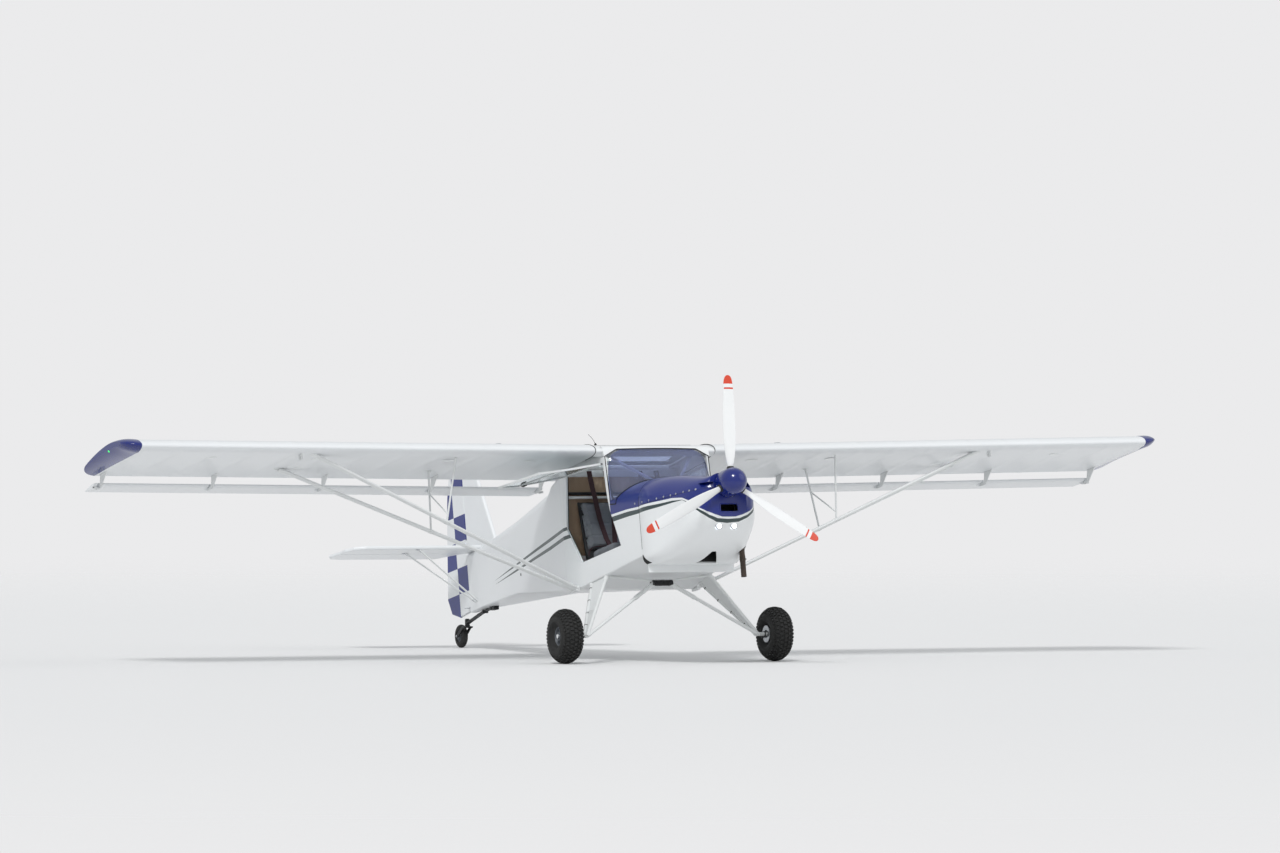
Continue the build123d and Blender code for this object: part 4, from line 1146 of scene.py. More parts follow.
@dataclass
class Wings(Assembly):
    """Both wings: doped cloth over taped ribs, with filler caps, root seals, inspection covers and tip lamps.

    Args:
        ribs: Bays between ribs in one wing.
        sag: How far the cloth draws in between ribs, in mm.
        tape_half: Half width of a rib's tape.
    """

    ribs: int = 12
    sag: float = 3.4
    tape_half: float = 24.0

    # Stations across one bay: tape, its step, then the drawn cloth
    BAY = (0.0, 0.072, 0.082, 0.2, 0.35, 0.5, 0.65, 0.8, 0.918, 0.928)
    ROWS = 64

    def build(self) -> None:
        """Builds both wings and what sits on them."""
        port = self._panel()
        starboard = self.mirrored(port)
        self.deliver(port, "wing_cloth_left", WHITE_FABRIC, replaces="wing_left", sharp=60)
        self.deliver(starboard, "wing_cloth_right", WHITE_FABRIC, replaces="wing_right", sharp=60)
        self._filler_caps()
        self._root_seals()
        self._covers()
        self._tip_lamps()

    def _panel(self) -> Piece:
        """Port wing from root to tip joint."""
        span = LINES.wing_end - LINES.wing_root
        bay = span / self.ribs
        stations = [LINES.wing_root + bay * (i + share) for i in range(self.ribs) for share in self.BAY]
        stations.append(LINES.wing_end)

        def place(column: int, row: int) -> Point:
            x = stations[column]
            share = ((x - LINES.wing_root) / bay) % 1.0
            turn = math.tau * (row % self.ROWS) / (self.ROWS - 1) if row < self.ROWS else 0.0
            along = (1 + math.cos(turn)) / 2
            cloth = min(1.0, max(0.0, (along - 0.09) / 0.12)) * min(1.0, max(0.0, (0.985 - along) / 0.1))
            on_tape = min(share, 1 - share) * bay < self.tape_half + 2
            inward = 0.6 if not on_tape else 0.0
            if not on_tape:
                run = (share - 0.075) / 0.85
                inward += self.sag * cloth * 4 * max(0.0, run * (1 - run))
            return LINES.wing_point(x, along, turn < math.pi, inward)

        return self.surface(place, len(stations), self.ROWS + 1)

    def _filler_caps(self) -> None:
        """Fuel filler neck and cap on each wing."""
        profile = [
            (-14, 0), (-14, 37), (2, 37), (3.5, 35), (4, 31), (4, 29.5), (15, 29), (17, 27), (17.6, 22), (14.5, 19),
            (14.2, 0),
        ]
        top = LINES.wing_point(1270, 0.3, True)
        cap = self.lathe(profile, (1270, 370, top[2] - 2), UP, 40)
        grip = self.block((1244, 364, top[2] + 10), (1296, 376, top[2] + 16.5), 2.5)
        self.fit([cap, grip], "filler_caps", MILLED_ALUMINIUM, both=True)

    def _root_seals(self) -> None:
        """Black seal round each wing root."""
        shares = [i / 40 for i in range(41)]
        line = [LINES.wing_point(541, (1 + math.cos(math.pi * s)) / 2, True) for s in shares[4:]]
        line += [LINES.wing_point(541, (1 - math.cos(math.pi * s)) / 2, False) for s in shares[1:13]]
        seal = self.tube(line, 3.4, smooth=True)
        self.fit([seal], "wing_root_seals", SEAL_RUBBER, both=True)

    def _covers(self) -> None:
        """Round inspection covers under each wing."""
        cover = self.lathe([(0, 0), (0, 52), (1.4, 52), (2.2, 50), (2.2, 44), (1.6, 42), (1.6, 0)], steps=32)
        places = []
        for x, share in ((1010, 0.28), (1740, 0.28), (2900, 0.28), (2900, 0.64), (3840, 0.28)):
            point = Vector(LINES.wing_point(x, share, False, 1.6))
            ahead = Vector(LINES.wing_point(x, share - 0.05, False, 1.6))
            down = (point - ahead).cross(Vector((1, 0, math.tan(LINES.dihedral))))
            places.append(self.facing(point, down if down.z < 0 else -down))
        covers = self.row(cover, places)
        self.fit([covers], "wing_inspection_covers", WHITE_PAINT, both=True)

    def _tip_lamps(self) -> None:
        """Navigation lamp on each drooped tip: a black base and a tinted lens, let a little into the skin."""
        skin = Skin(self.stance, [self.nodes["wing_tips"]])
        for side, lens in ((Side.STARBOARD, GREEN_LENS), (Side.PORT, RED_LENS)):
            seat = skin.seat((side.value * 4900, 439, 1656), (-side.value, 0, -0.12))
            out = (seat.to_3x3() @ Vector(UP)).normalized()
            spot = seat.translation - out * 9.5
            base = self.lathe([(-2, 0), (-2, 15), (6.5, 14), (8, 12), (8, 0)], spot, out, 28)
            dome = self.lathe([(6, 0), (6, 10.5), (9, 9.5), (11, 7), (12, 3.5), (12.2, 0)], spot, out, 28)
            self.deliver(base, f"tip_lamp_base_{side.word}", BLACK_ABS)
            self.deliver(dome, f"tip_lamp_lens_{side.word}", lens)


@dataclass
class Nose(Assembly):
    """Cowling's hardware: studs, inlet lips and ramps, cooler, oil door, lamps, exhaust and seams, with dark sheets
    of painted shade in the outlet and at the lower cowl's rear corners.

    Args:
        stud_radius: Radius of a cowl stud.
    """

    stud_radius: float = 8.5

    # Cowl studs just above the split, station and height
    STUDS = (
        (-389, 1030), (-519, 1020), (-618, 1016), (-717, 1013), (-804, 1013), (-894, 1008), (-962, 1009),
        (-1054, 1008), (-1121, 1006), (-1183, 1005),
    )
    CHIN = ((-78, 808), (78, 808), (78, 870), (-78, 870))
    OUTLET = ((10, -850), (52, -850), (184, -556), (-12, -565))
    # Foot of the line that the tail pipe is turned about
    PIPE = (300, -810, 0)

    def build(self) -> None:
        """Builds everything on and in the cowling."""
        self.skin = Skin(self.stance, [self.nodes[name] for name in ("cowl_upper", "cowl_lower", "boot_cowl")])
        self._studs()
        self._split()
        self._lips()
        self._radiator()
        self._oil_door()
        self._lamps()
        self._exhaust()
        self._scuttle_seam()
        self._engine_dress()
        self._outlet_duct()
        self._corner_gaps()
        self._cheek_ramps()

    def _cheek_ramps(self) -> None:
        """Painted ramps a little way into the cheek inlets."""
        ramps = []
        for s in (1, -1):
            ends = [[self.skin.seat((s * x, -1500, z), AFT).translation for x in (113, 227)] for z in (1001, 1061)]

            def place(column: int, row: int) -> Point:
                spot = ends[0][0].lerp(ends[0][1], column / 6).lerp(ends[1][0].lerp(ends[1][1], column / 6), row / 4)
                return spot.x, spot.y + 9 + 3 * row / 4, spot.z

            ramp = self.surface(place, 7, 5, fill=False)
            ramps.append(self.thicken(ramp, 1.5))
        self.fit(ramps, "cheek_inlet_ramps", NAVY_PAINT)

    def _studs(self) -> None:
        """Row of bright studs on both sides."""
        row = self.row(
            self.stud(self.stud_radius), [self.skin.seat((700, y, z), (-1, 0, 0)) for y, z in self.STUDS]
        )
        self.fit([row], "cowl_studs", MILLED_ALUMINIUM, both=True)

    def _split(self) -> None:
        """Fine black gasket in the joint between the upper and lower cowls."""
        points = []
        for i in range(32):
            turn = math.radians(-28.5 + 3.57 * i)
            start = Vector((900 * math.cos(turn), -700 - 900 * math.sin(turn), 1002.0))
            points.append(self.skin.seat(start, Vector((0, -700, 1002.0)) - start).translation - Vector((0, 0, 2)))
        gasket = self.tube(points, 1.6)
        self.fit([gasket], "cowl_split_gasket", SEAL_RUBBER, both=True)

    def _lip(self, outline: Sequence[Point], direction: Point, radius: float, corner: float = 5) -> Piece:
        """Rolled edge round an opening.

        Args:
            outline: Corners of the opening.
            direction: Direction in which the opening is looked into.
            radius: Radius of the roll.
            corner: Rounding of its corners.

        Returns:
            The lip.
        """
        points = []
        count = len(outline)
        for i, here in enumerate(outline):
            here = Vector(here)
            for other in (Vector(outline[i - 1]), Vector(outline[(i + 1) % count])):
                points.append(here + (other - here).normalized() * corner)
        middle = sum(points, Vector()) / len(points)
        seats = []
        for i, point in enumerate(points):
            ahead = points[(i + 1) % len(points)]
            for share in (0.0, 0.34, 0.67):
                spot = point.lerp(ahead, share)
                outward = (spot - middle).normalized() * (radius + 1)
                seats.append(
                    self.skin.seat(spot + outward - Vector(direction) * 400, direction).translation - outward * 0.6
                )
        return self.tube(seats, radius, closed=True)

    def _lips(self) -> None:
        """Rolled edges of the chin inlet, cheek inlets and outlet."""
        chin = self._lip([(x, -1262, z) for x, z in self.CHIN], AFT, 5)
        self.deliver(chin, "chin_inlet_lip", NAVY_PAINT)
        cheeks = [
            self._lip(
                [(s * x, -1230, z) for x, z in ((120, 1008), (220, 1008), (220, 1054), (120, 1054))], AFT, 3.4, 3.5
            )
            for s in (1, -1)
        ]
        self.fit(cheeks, "cheek_inlet_lips", NAVY_PAINT)
        outlet = self._lip([(x, y, 540) for x, y in self.OUTLET], UP, 3.5, 3.5)
        self.deliver(outlet, "outlet_lip", WHITE_PAINT)

    def _radiator(self) -> None:
        """Finned cooler behind the chin inlet, in a black duct."""
        fin = self.block((-0.6, -1165, 798), (0.6, -1137, 882), 0)
        fins = self.row(fin, [Matrix.Translation((x, 0, 0)) for x in range(-81, 82, 6)])
        tubes = [self.block((-84, -1160, z), (84, -1142, z + 4), 1.2) for z in range(802, 880, 12)]
        core = self.joined([fins, *tubes])
        self.deliver(core, "cooler_core", SPRING_STEEL)
        duct = self.lathe([(0, 62), (0, 58), (52, 70), (52, 74), (0, 62)], (0, -1215, 839), AFT, 4)
        for about, change in (
            ((0, -1190, 839), Matrix.Rotation(math.radians(45), 4, "Y")),
            ((0, 0, 839), Matrix.Diagonal((1.62, 1, 0.8, 1))),
        ):
            centre = Vector(about) * MM
            duct.data.transform(Matrix.Translation(centre) @ change @ Matrix.Translation(-centre))
        self.deliver(duct, "cooler_duct", BLACK_ABS)

    def _oil_door(self) -> None:
        """Flush oil door on the upper cowl with its hinge and two latches."""
        door = self.skin.patch(self, (60, 190), (-1010, -890), DOWN, 1.3, 9, 8)
        self.deliver(door, "oil_door", NAVY_PAINT)
        seats = [self.skin.seat((x, -902, 1600), DOWN) for x in (82, 168)]
        latches = self.row(self.stud(7), [s @ Matrix.Translation((0, 0, 1.2)) for s in seats])
        self.deliver(latches, "oil_door_latches", MILLED_ALUMINIUM)

    def _lamps(self) -> None:
        """Pair of landing lamps: turned bezel, bright bowl and a lens whose glow is a painted glint."""
        aim = Vector((0, -78, -6)).normalized()
        bezels, lenses = [], []
        for x in (-67, 67):
            front = Vector((x, -1188, 703))
            bezels.append(
                self.lathe(
                    [(-12, 25.2), (-12, 27.5), (1, 27.5), (3, 26), (3, 22.5), (0.2, 22), (0.2, 25.2), (-12, 25.2)],
                    front,
                    aim,
                    36,
                )
            )
            lenses.append(self.lathe([(0.3, 0), (0.3, 22), (2, 21), (4.2, 15), (5.2, 8), (5.5, 0)], front, aim, 32))
        self.fit(bezels, "landing_lamp_bezels", MILLED_ALUMINIUM)
        self.fit(lenses, "landing_lamp_lenses", GLINT_GLOW_LENS)

    def _exhaust(self) -> None:
        """Hollow tail pipe with its elbow and slip joint, a black disc in its bore for its soot and painted shade,
        and its clamp.
        """
        pipe = self.lathe([(345, 22.5), (600, 22.5), (600, 19.5), (345, 19.5), (345, 22.5)], self.PIPE, UP, 36)
        elbow = self.tube(
            [(300, -810, 596), (300, -810, 650), (278, -826, 740), (240, -852, 850), (230, -860, 900)], 22.3
        )
        joint = self.lathe(
            [(470, 22), (470, 23.8), (472, 24.4), (516, 24.4), (518, 23.8), (518, 22), (470, 22)], self.PIPE, UP, 36
        )
        throat = self.lathe([(360, 0), (360, 19.8), (366, 19.8), (366, 0)], self.PIPE, UP, 24)
        self.fit([pipe, elbow, joint], "tail_pipe", SCORCHED_STEEL, replaces="exhaust_pipe")
        self.deliver(throat, "tail_pipe_soot_and_shade", SEAL_RUBBER)
        clamp = self.lathe([(485, 24), (485, 25.8), (497, 25.8), (497, 24), (485, 24)], self.PIPE, UP, 36)
        ear = self.block((321, -815, 487), (334, -805, 495), 1.5)
        self.fit([clamp, ear], "tail_pipe_clamp", SCORCHED_STEEL)

    def _scuttle_seam(self) -> None:
        """Fine black seam between the cowls and the scuttle, and down both sides of the firewall."""
        points = []
        for i in range(41):
            x = -421 + 842 * i / 40
            inside = min(abs(x), 424.5)
            points.append((math.copysign(inside, x), LINES.firewall_y, LINES.scuttle(x, LINES.firewall_y) + 0.2))
        sides = [(s * 425.2, LINES.firewall_y, z) for s in (-1, 1) for z in (1030, 760, 640)]
        line = [sides[2], sides[1], sides[0], *points, *sides[3:]]
        seam = self.tube(line, 1.8, smooth=False)
        self.deliver(seam, "firewall_seam", SEAL_RUBBER)

    def _outlet_duct(self) -> None:
        """Dark throat that closes the outlet from above: painted shade inside the opening."""
        corners = [Vector((x, y, 140)) for x, y in self.OUTLET]
        middle = sum(corners, Vector()) / len(corners)
        rim = [here.lerp(corners[(i + 1) % len(corners)], k / 4) for i, here in enumerate(corners) for k in range(4)]
        base = [self.skin.seat(spot + (spot - middle).normalized() * 5, UP).translation for spot in rim]
        # Height above the outer skin and size of each ring
        rings = ((9.5, 1.0), (40, 0.97), (80, 0.9), (84, 0.0))

        def place(column: int, row: int) -> Point:
            lift, size = rings[row]
            spot = base[column % len(base)]
            heart = Vector((middle.x, middle.y, 640))
            flat = heart.lerp(spot, size)
            return flat.x, flat.y, (spot.z if row < 2 else 590) + lift

        duct = self.surface(place, len(base) + 1, len(rings), fill=False)
        self.thicken(duct, 1.5)
        self.deliver(duct, "outlet_painted_shade", SEAL_RUBBER)

    def _corner_gaps(self) -> None:
        """Dark sheet laid on each rear corner of the lower cowl, by the firewall: painted shade."""
        top = LINES.keel_at(LINES.firewall_y) + 10

        def place(column: int, row: int) -> Point:
            share = row / 8
            start = (900, LINES.firewall_y - 3 - (8 + 70 * share) * column / 4, top - 78 * share)
            return self.skin.seat(start, (-1, 0, 0)) @ Vector((0, 0, 1.2))

        gap = self.surface(place, 5, 9, fill=False)
        self.thicken(gap, 1.6)
        self.fit([gap], "cowl_corner_painted_shade", SEAL_RUBBER, both=True)

    def _engine_dress(self) -> None:
        """Parts of the engine bay that show through the inlets: a baffle and a coolant hose."""
        baffle = self.block((-236, -1108, 1004), (236, -1102, 1060), 1)
        self.deliver(baffle, "inlet_baffle", BLACK_ABS)
        hose = self.tube(
            [(-60, -1128, 830), (-110, -1080, 770), (-120, -960, 740), (-60, -800, 742), (40, -680, 760)], 13
        )
        self.deliver(hose, "coolant_hose", SEAL_RUBBER)


@dataclass
class Propeller(Assembly):
    """Three-blade propeller: moulded blades with round tips, root collars, back plate and spinner screws.

    Args:
        hub: Station and height of the hub's middle.
        first_angle: Angle of the first blade from port, in degrees.
    """

    hub: tuple[float, float] = (-1337.0, 1037.0)
    first_angle: float = 87.0

    # Distance out, chord, thickness and pitch of the blade
    BLADE = (
        (112, 46, 44, 50), (140, 54, 40, 46), (200, 74, 31, 37), (280, 92, 23, 30), (380, 104, 18, 24),
        (510, 103, 14.5, 20), (640, 97, 12, 16.5), (740, 88, 9.6, 14), (800, 80, 8.2, 12.6), (840, 71, 7.2, 11.8),
        (865, 57, 6, 11.3), (878, 38, 4.4, 11), (884.5, 12, 2.4, 11),
    )
    # Points round a blade's section, and the rows that the guard covers
    SIDES = 32
    GUARD_ROWS = (5, 6, 7, 8)

    def build(self) -> None:
        """Builds the blades and the hub's hardware."""
        blade, collar, guard = self._blade(), self._collar(), self._guard()
        turns = [self._turn(i) for i in range(3)]
        blades = self.row(blade, turns)
        self.deliver(
            blades, "blades", BLADE_GELCOAT, "propeller", paint="blade", replaces="propeller_blades", sharp=50,
        )
        self.deliver(self.row(collar, turns), "blade_collars", BLACK_ABS, "propeller")
        self.deliver(self.row(guard, turns), "blade_edge_guards", BLADE_GELCOAT, "propeller", sharp=60)
        self._back_plate()

    def _turn(self, index: int) -> Matrix:
        """Carries a blade drawn along Z, its front towards the nose, to its place on the hub."""
        out = spoke(math.radians(self.first_angle + 120 * index))
        across = out.cross(Vector(AFT))
        frame = Matrix((across, out.cross(across), out)).transposed().to_4x4()
        return Matrix.Translation((0, self.hub[0], self.hub[1])) @ frame

    def _section(self, row: int, column: int, grow: float = 0.0) -> Point:
        """Point round a blade's section, round at the shank and a thin lens further out."""
        reach, chord, thick, pitch = self.BLADE[row]
        turn = math.tau * (column % self.SIDES) / self.SIDES
        nose = math.cos(turn)
        across = nose * chord / 2
        lens = math.sin(turn) * (thick / 2) * (1 + 0.32 * nose if row > 1 else 1.0)
        across += math.copysign(grow, nose) if abs(nose) > 0.2 else 0
        lens += math.copysign(grow, lens) if abs(lens) > 0.01 else 0
        cos, sin = math.cos(math.radians(-pitch)), math.sin(math.radians(-pitch))
        return across * cos - lens * sin, across * sin + lens * cos, reach

    def _blade(self) -> Piece:
        """One blade along Z with its shank down to the hub's bore."""
        blade = self.surface(lambda column, row: self._section(row, column), self.SIDES + 1, len(self.BLADE))
        self.modify(blade, "SUBSURF", levels=1, render_levels=1)
        shank = self.rod((0, 0, 42), (0, 0, 116), 22.6, 22.6, 32)
        return self.joined([blade, shank])

    def _collar(self) -> Piece:
        """Black rubber collar where a blade leaves the spinner."""
        profile = [(104, 24), (104, 31), (110, 32.5), (119, 31), (127, 27), (127, 24), (104, 24)]
        return self.lathe(profile, steps=36)

    def _guard(self) -> Piece:
        """Thin guard over the outer leading edge, outside first and then back along its inside."""
        columns = (*range(-3, 4), *range(3, -4, -1))
        half = len(columns) // 2

        def place(column: int, row: int) -> Point:
            index = column % len(columns)
            return self._section(self.GUARD_ROWS[row], columns[index] % self.SIDES, 0.5 if index < half else -0.3)

        return self.surface(place, len(columns) + 1, len(self.GUARD_ROWS))

    def _back_plate(self) -> None:
        """Back plate of the spinner with its rolled edge, and the screws round the skirt."""
        y, z = self.hub
        plate = self.lathe(
            [(60, 46), (60, 111), (58.5, 112.1), (56, 112.1), (55.6, 111.2), (55.6, 46), (60, 46)], (0, y, z), AFT, 72
        )
        self.deliver(plate, "spinner_back_plate", MILLED_ALUMINIUM, "propeller")
        screws = []
        for i in range(12):
            out = spoke(math.radians(self.first_angle + 30 * i + 15))
            screws.append(self.facing(Vector((0, y + 48, z)) + out * 111.8, out))
        self.deliver(self.row(self.screw(4.2), screws), "spinner_screws", MILLED_ALUMINIUM, "propeller")


@dataclass
class Wheels(Assembly):
    """Main wheels: knobbly balloon tyres on split rims, with brake discs, callipers and axle nuts.

    Args:
        radius: Rolling radius; not used.
        half_track: Distance of a wheel's middle from the middle plane.
        axle: Station and height of the axle.
        blocks: Tread blocks in one ring.
    """

    radius: float = 225.0
    half_track: float = 948.0
    axle: tuple[float, float] = (45.0, 9.0)
    blocks: int = 38

    # Half of the tyre's section from bead to crown: across and radius
    SECTION = (
        (50, 77.5), (58, 77), (62, 79), (65, 84), (72, 92), (82, 100), (91, 110), (91.8, 112), (94, 113), (94.4, 116),
        (96.6, 118), (98.4, 127), (98.2, 136), (96.6, 145), (97, 147), (95.4, 150), (93.6, 153), (90, 163), (84, 172),
        (74, 183), (62, 193), (48, 202), (32, 209), (16, 213), (0, 214.5),
    )
    # Half of the rim's section, the same way
    RIM = (
        (60, 17.5), (61, 24), (60, 33), (54, 35), (34, 41), (30, 45), (31, 60), (36, 65), (52, 68), (58, 71),
        (60, 76), (58, 78.5), (53, 78), (48, 73), (30, 70), (26, 64),
    )
    # Rows of tread blocks: across, radius at the top, half width, tilt in degrees and whether it is staggered
    TREAD = (
        (0, 224.6, 13, 0, 0), (33, 219.8, 12, 12, 1), (-33, 219.8, 12, -12, 1), (64, 203, 11.5, 36, 0),
        (-64, 203, 11.5, -36, 0), (87, 181, 9, 58, 1), (-87, 181, 9, -58, 1),
    )

    def build(self) -> None:
        """Builds both wheels."""
        carcass, tread, rim, bolts, disc = self._carcass(), self._tread(), self._rim(), self._bolts(), self._disc()
        hub = Vector((self.half_track, *self.axle))
        for side in Side:
            body = f"wheel_{side.word}"
            to_port = Matrix.Translation(hub) @ Matrix.Rotation(math.radians(9 if side is Side.PORT else 31), 4, "X")
            for part, name, finish, node in (
                (carcass, "tyre_carcass", TYRE_RUBBER, "tyre"),
                (tread, "tyre_tread", TYRE_RUBBER, ""),
                (rim, "split_rim", TUBE_GREY, "wheel_rim"),
                (bolts, "rim_bolts", MILLED_ALUMINIUM, ""),
                (disc, "brake_disc", MILLED_ALUMINIUM, ""),
            ):
                piece = self.sided(self.copy(part, self.metres(to_port)), side)
                replaces = f"{node}_{side.word}" if node else ""
                self.deliver(piece, f"{name}_{side.word}", finish, body, replaces=replaces)
        for part in (carcass, tread, rim, bolts, disc):
            bpy.data.objects.remove(part)
        self._calipers()

    def _carcass(self) -> Piece:
        """Tyre about the X axis, closed between its beads."""
        return self.lathe(both_sides(self.SECTION), axis=ACROSS, steps=96)

    def _tread(self) -> Piece:
        """Rings of blocks, each block tapered and set square to the carcass."""
        rings = []
        for across, top, half, tilt, staggered in self.TREAD:
            length = 15.5 if abs(across) < 80 else 13
            block = self.block((-half, -length * 0.78, -14), (half, length * 0.78, 0), 0)
            for vertex in block.data.vertices:
                if vertex.co.z > -0.001:
                    vertex.co.x *= 0.86
                    vertex.co.y *= 0.84
            turns = []
            for i in range(self.blocks):
                angle = math.tau * (i + 0.5 * staggered) / self.blocks
                seat = Matrix.Rotation(angle, 4, "X") @ Matrix.Translation((across, 0, top))
                turns.append(seat @ Matrix.Rotation(math.radians(tilt), 4, "Y"))
            rings.append(self.row(block, turns))
        return self.joined(rings)

    def _rim(self) -> Piece:
        """Two rim halves as one turned piece, with a hub barrel and bearing caps."""
        return self.lathe(both_sides(self.RIM), axis=ACROSS, steps=72)

    def _bolts(self) -> Piece:
        """Ring of rim bolts and the valve."""
        turns = []
        for i in range(6):
            angle = math.tau * i / 6
            out = Vector((0, math.cos(angle), math.sin(angle)))
            turns.append(self.facing(Vector((30.6, 0, 0)) + out * 52.5, ACROSS))
        ring = self.row(self.bolt(5.2), turns)
        valve = self.rod((33, 0, 61), (58, 0, 57), 3.2, 2.6, 14)
        cap = self.rod((50, 0, 58.3), (60, 0, 56.8), 3.9, 3.4, 14)
        return self.joined([ring, valve, cap])

    def _disc(self) -> Piece:
        """Brake disc on the inner side with its carrier."""
        profile = [(-80, 34), (-80, 70), (-75, 70), (-75, 46), (-72, 44), (-60.5, 40), (-60.5, 34), (-80, 34)]
        return self.lathe(profile, axis=ACROSS, steps=64)

    def _calipers(self) -> None:
        """Brake calliper, its bracket on the leg, and the nut at the end of each axle."""
        y, z = self.axle
        x = self.half_track - 77.5
        jaws = [
            self.block((x - 14, y + 44, z - 24), (x - 4.6, y + 84, z + 24), 4),
            self.block((x + 4.6, y + 44, z - 24), (x + 12, y + 84, z + 24), 3),
            self.block((x - 14, y + 72.5, z - 20), (x + 12, y + 84, z + 20), 3),
        ]
        bracket = self.block((x - 20, y - 6, z - 11), (x - 14.5, y + 78, z + 11), 1.5)
        ring = self.lathe([(-6, 15.8), (-6, 24), (0, 24), (0, 15.8), (-6, 15.8)], (x - 14.5, y, z), ACROSS, 28)
        self.fit([*jaws, bracket, ring], "brake_calipers", SPRING_STEEL, both=True)
        end = self.half_track + 62.6
        nut = self.soften(self.rod((end, y, z), (end + 8, y, z), 23, sides=6), 1.5, 1)
        crown = self.lathe([(7.6, 0), (7.6, 17), (9.2, 16), (9.2, 0)], (end, y, z), ACROSS, 24)
        self.fit([nut, crown], "axle_nuts", MILLED_ALUMINIUM, both=True)


@dataclass
class TailWheel(Assembly):
    """Solid-tyred tailwheel, its hub, fork hardware and leaf-spring clamps.

    Args:
        axle: Station and height of the tail axle.
        lead: How far the swivel stands ahead of the axle, level with the ground.
        height: Height of the swivel's middle above the axle.
    """

    axle: tuple[float, float] = (4245.0, 698.0)
    lead: float = 127.0
    height: float = 103.0

    # Halves of the sections of the tyre and the hub: across and radius
    TYRE = (
        (20, 50), (24, 51), (27.6, 56), (28, 66), (26.5, 72), (27, 76), (24.5, 84), (20, 91), (15, 95.5),
        (14.4, 94.2), (11.5, 94.2), (10.9, 97.6), (4, 99.6), (3.4, 98), (0, 98),
    )
    HUB = ((24, 8.4), (24, 17), (20, 19), (9, 24), (7, 30), (8, 42), (16, 48), (20, 51.5))

    def point(self, aft: float, up: float, x: float = 0.0) -> Vector:
        """Point measured level with the ground from the tail axle."""
        attitude = math.radians(self.stance.attitude)
        cos, sin = math.cos(attitude), math.sin(attitude)
        return Vector((x, self.axle[0] + aft * cos - up * sin, self.axle[1] + aft * sin + up * cos))

    def build(self) -> None:
        """Builds the wheel and what holds it."""
        hub = Vector((0, *self.axle))
        tyre = self.lathe(both_sides(self.TYRE), hub, ACROSS, 72)
        self.deliver(tyre, "tail_tyre", TYRE_RUBBER, "tail_wheel", replaces="tail_wheel")
        self.deliver(self.lathe(both_sides(self.HUB), hub, ACROSS, 48), "tail_hub", TUBE_GREY, "tail_wheel")
        nuts = self.bolts(8, [(hub + Vector((s * 44, 0, 0)), (s, 0, 0)) for s in (1, -1)])
        self.deliver(nuts, "tail_axle_nuts", MILLED_ALUMINIUM, "tail_swivel")
        up = (self.point(0, 1) - self.point(0, 0)).normalized()
        cap = self.lathe(
            [(0, 0), (0, 22.5), (6, 22), (10, 16), (14, 15), (14, 0)],
            self.point(-self.lead, self.height + 35.4),
            up,
            32,
        )
        boot = self.lathe(
            [(-2, 21), (-2, 24), (4, 24), (6, 21.2), (6, 21), (-2, 21)],
            self.point(-self.lead, self.height - 12),
            up,
            32,
        )
        self.fit([cap, boot], "tail_swivel_cap", SPRING_STEEL)
        straps = [
            self.block((-27, 3522, 812), (27, 3546, 836), 1.5), self.block((-25, 3700, 808), (25, 3718, 838), 1.5)
        ]
        heads = self.bolts(6, [((x, 3534, 812), DOWN) for x in (-17, 17)])
        self.fit([*straps, heads], "tail_spring_clamps", SPRING_STEEL)


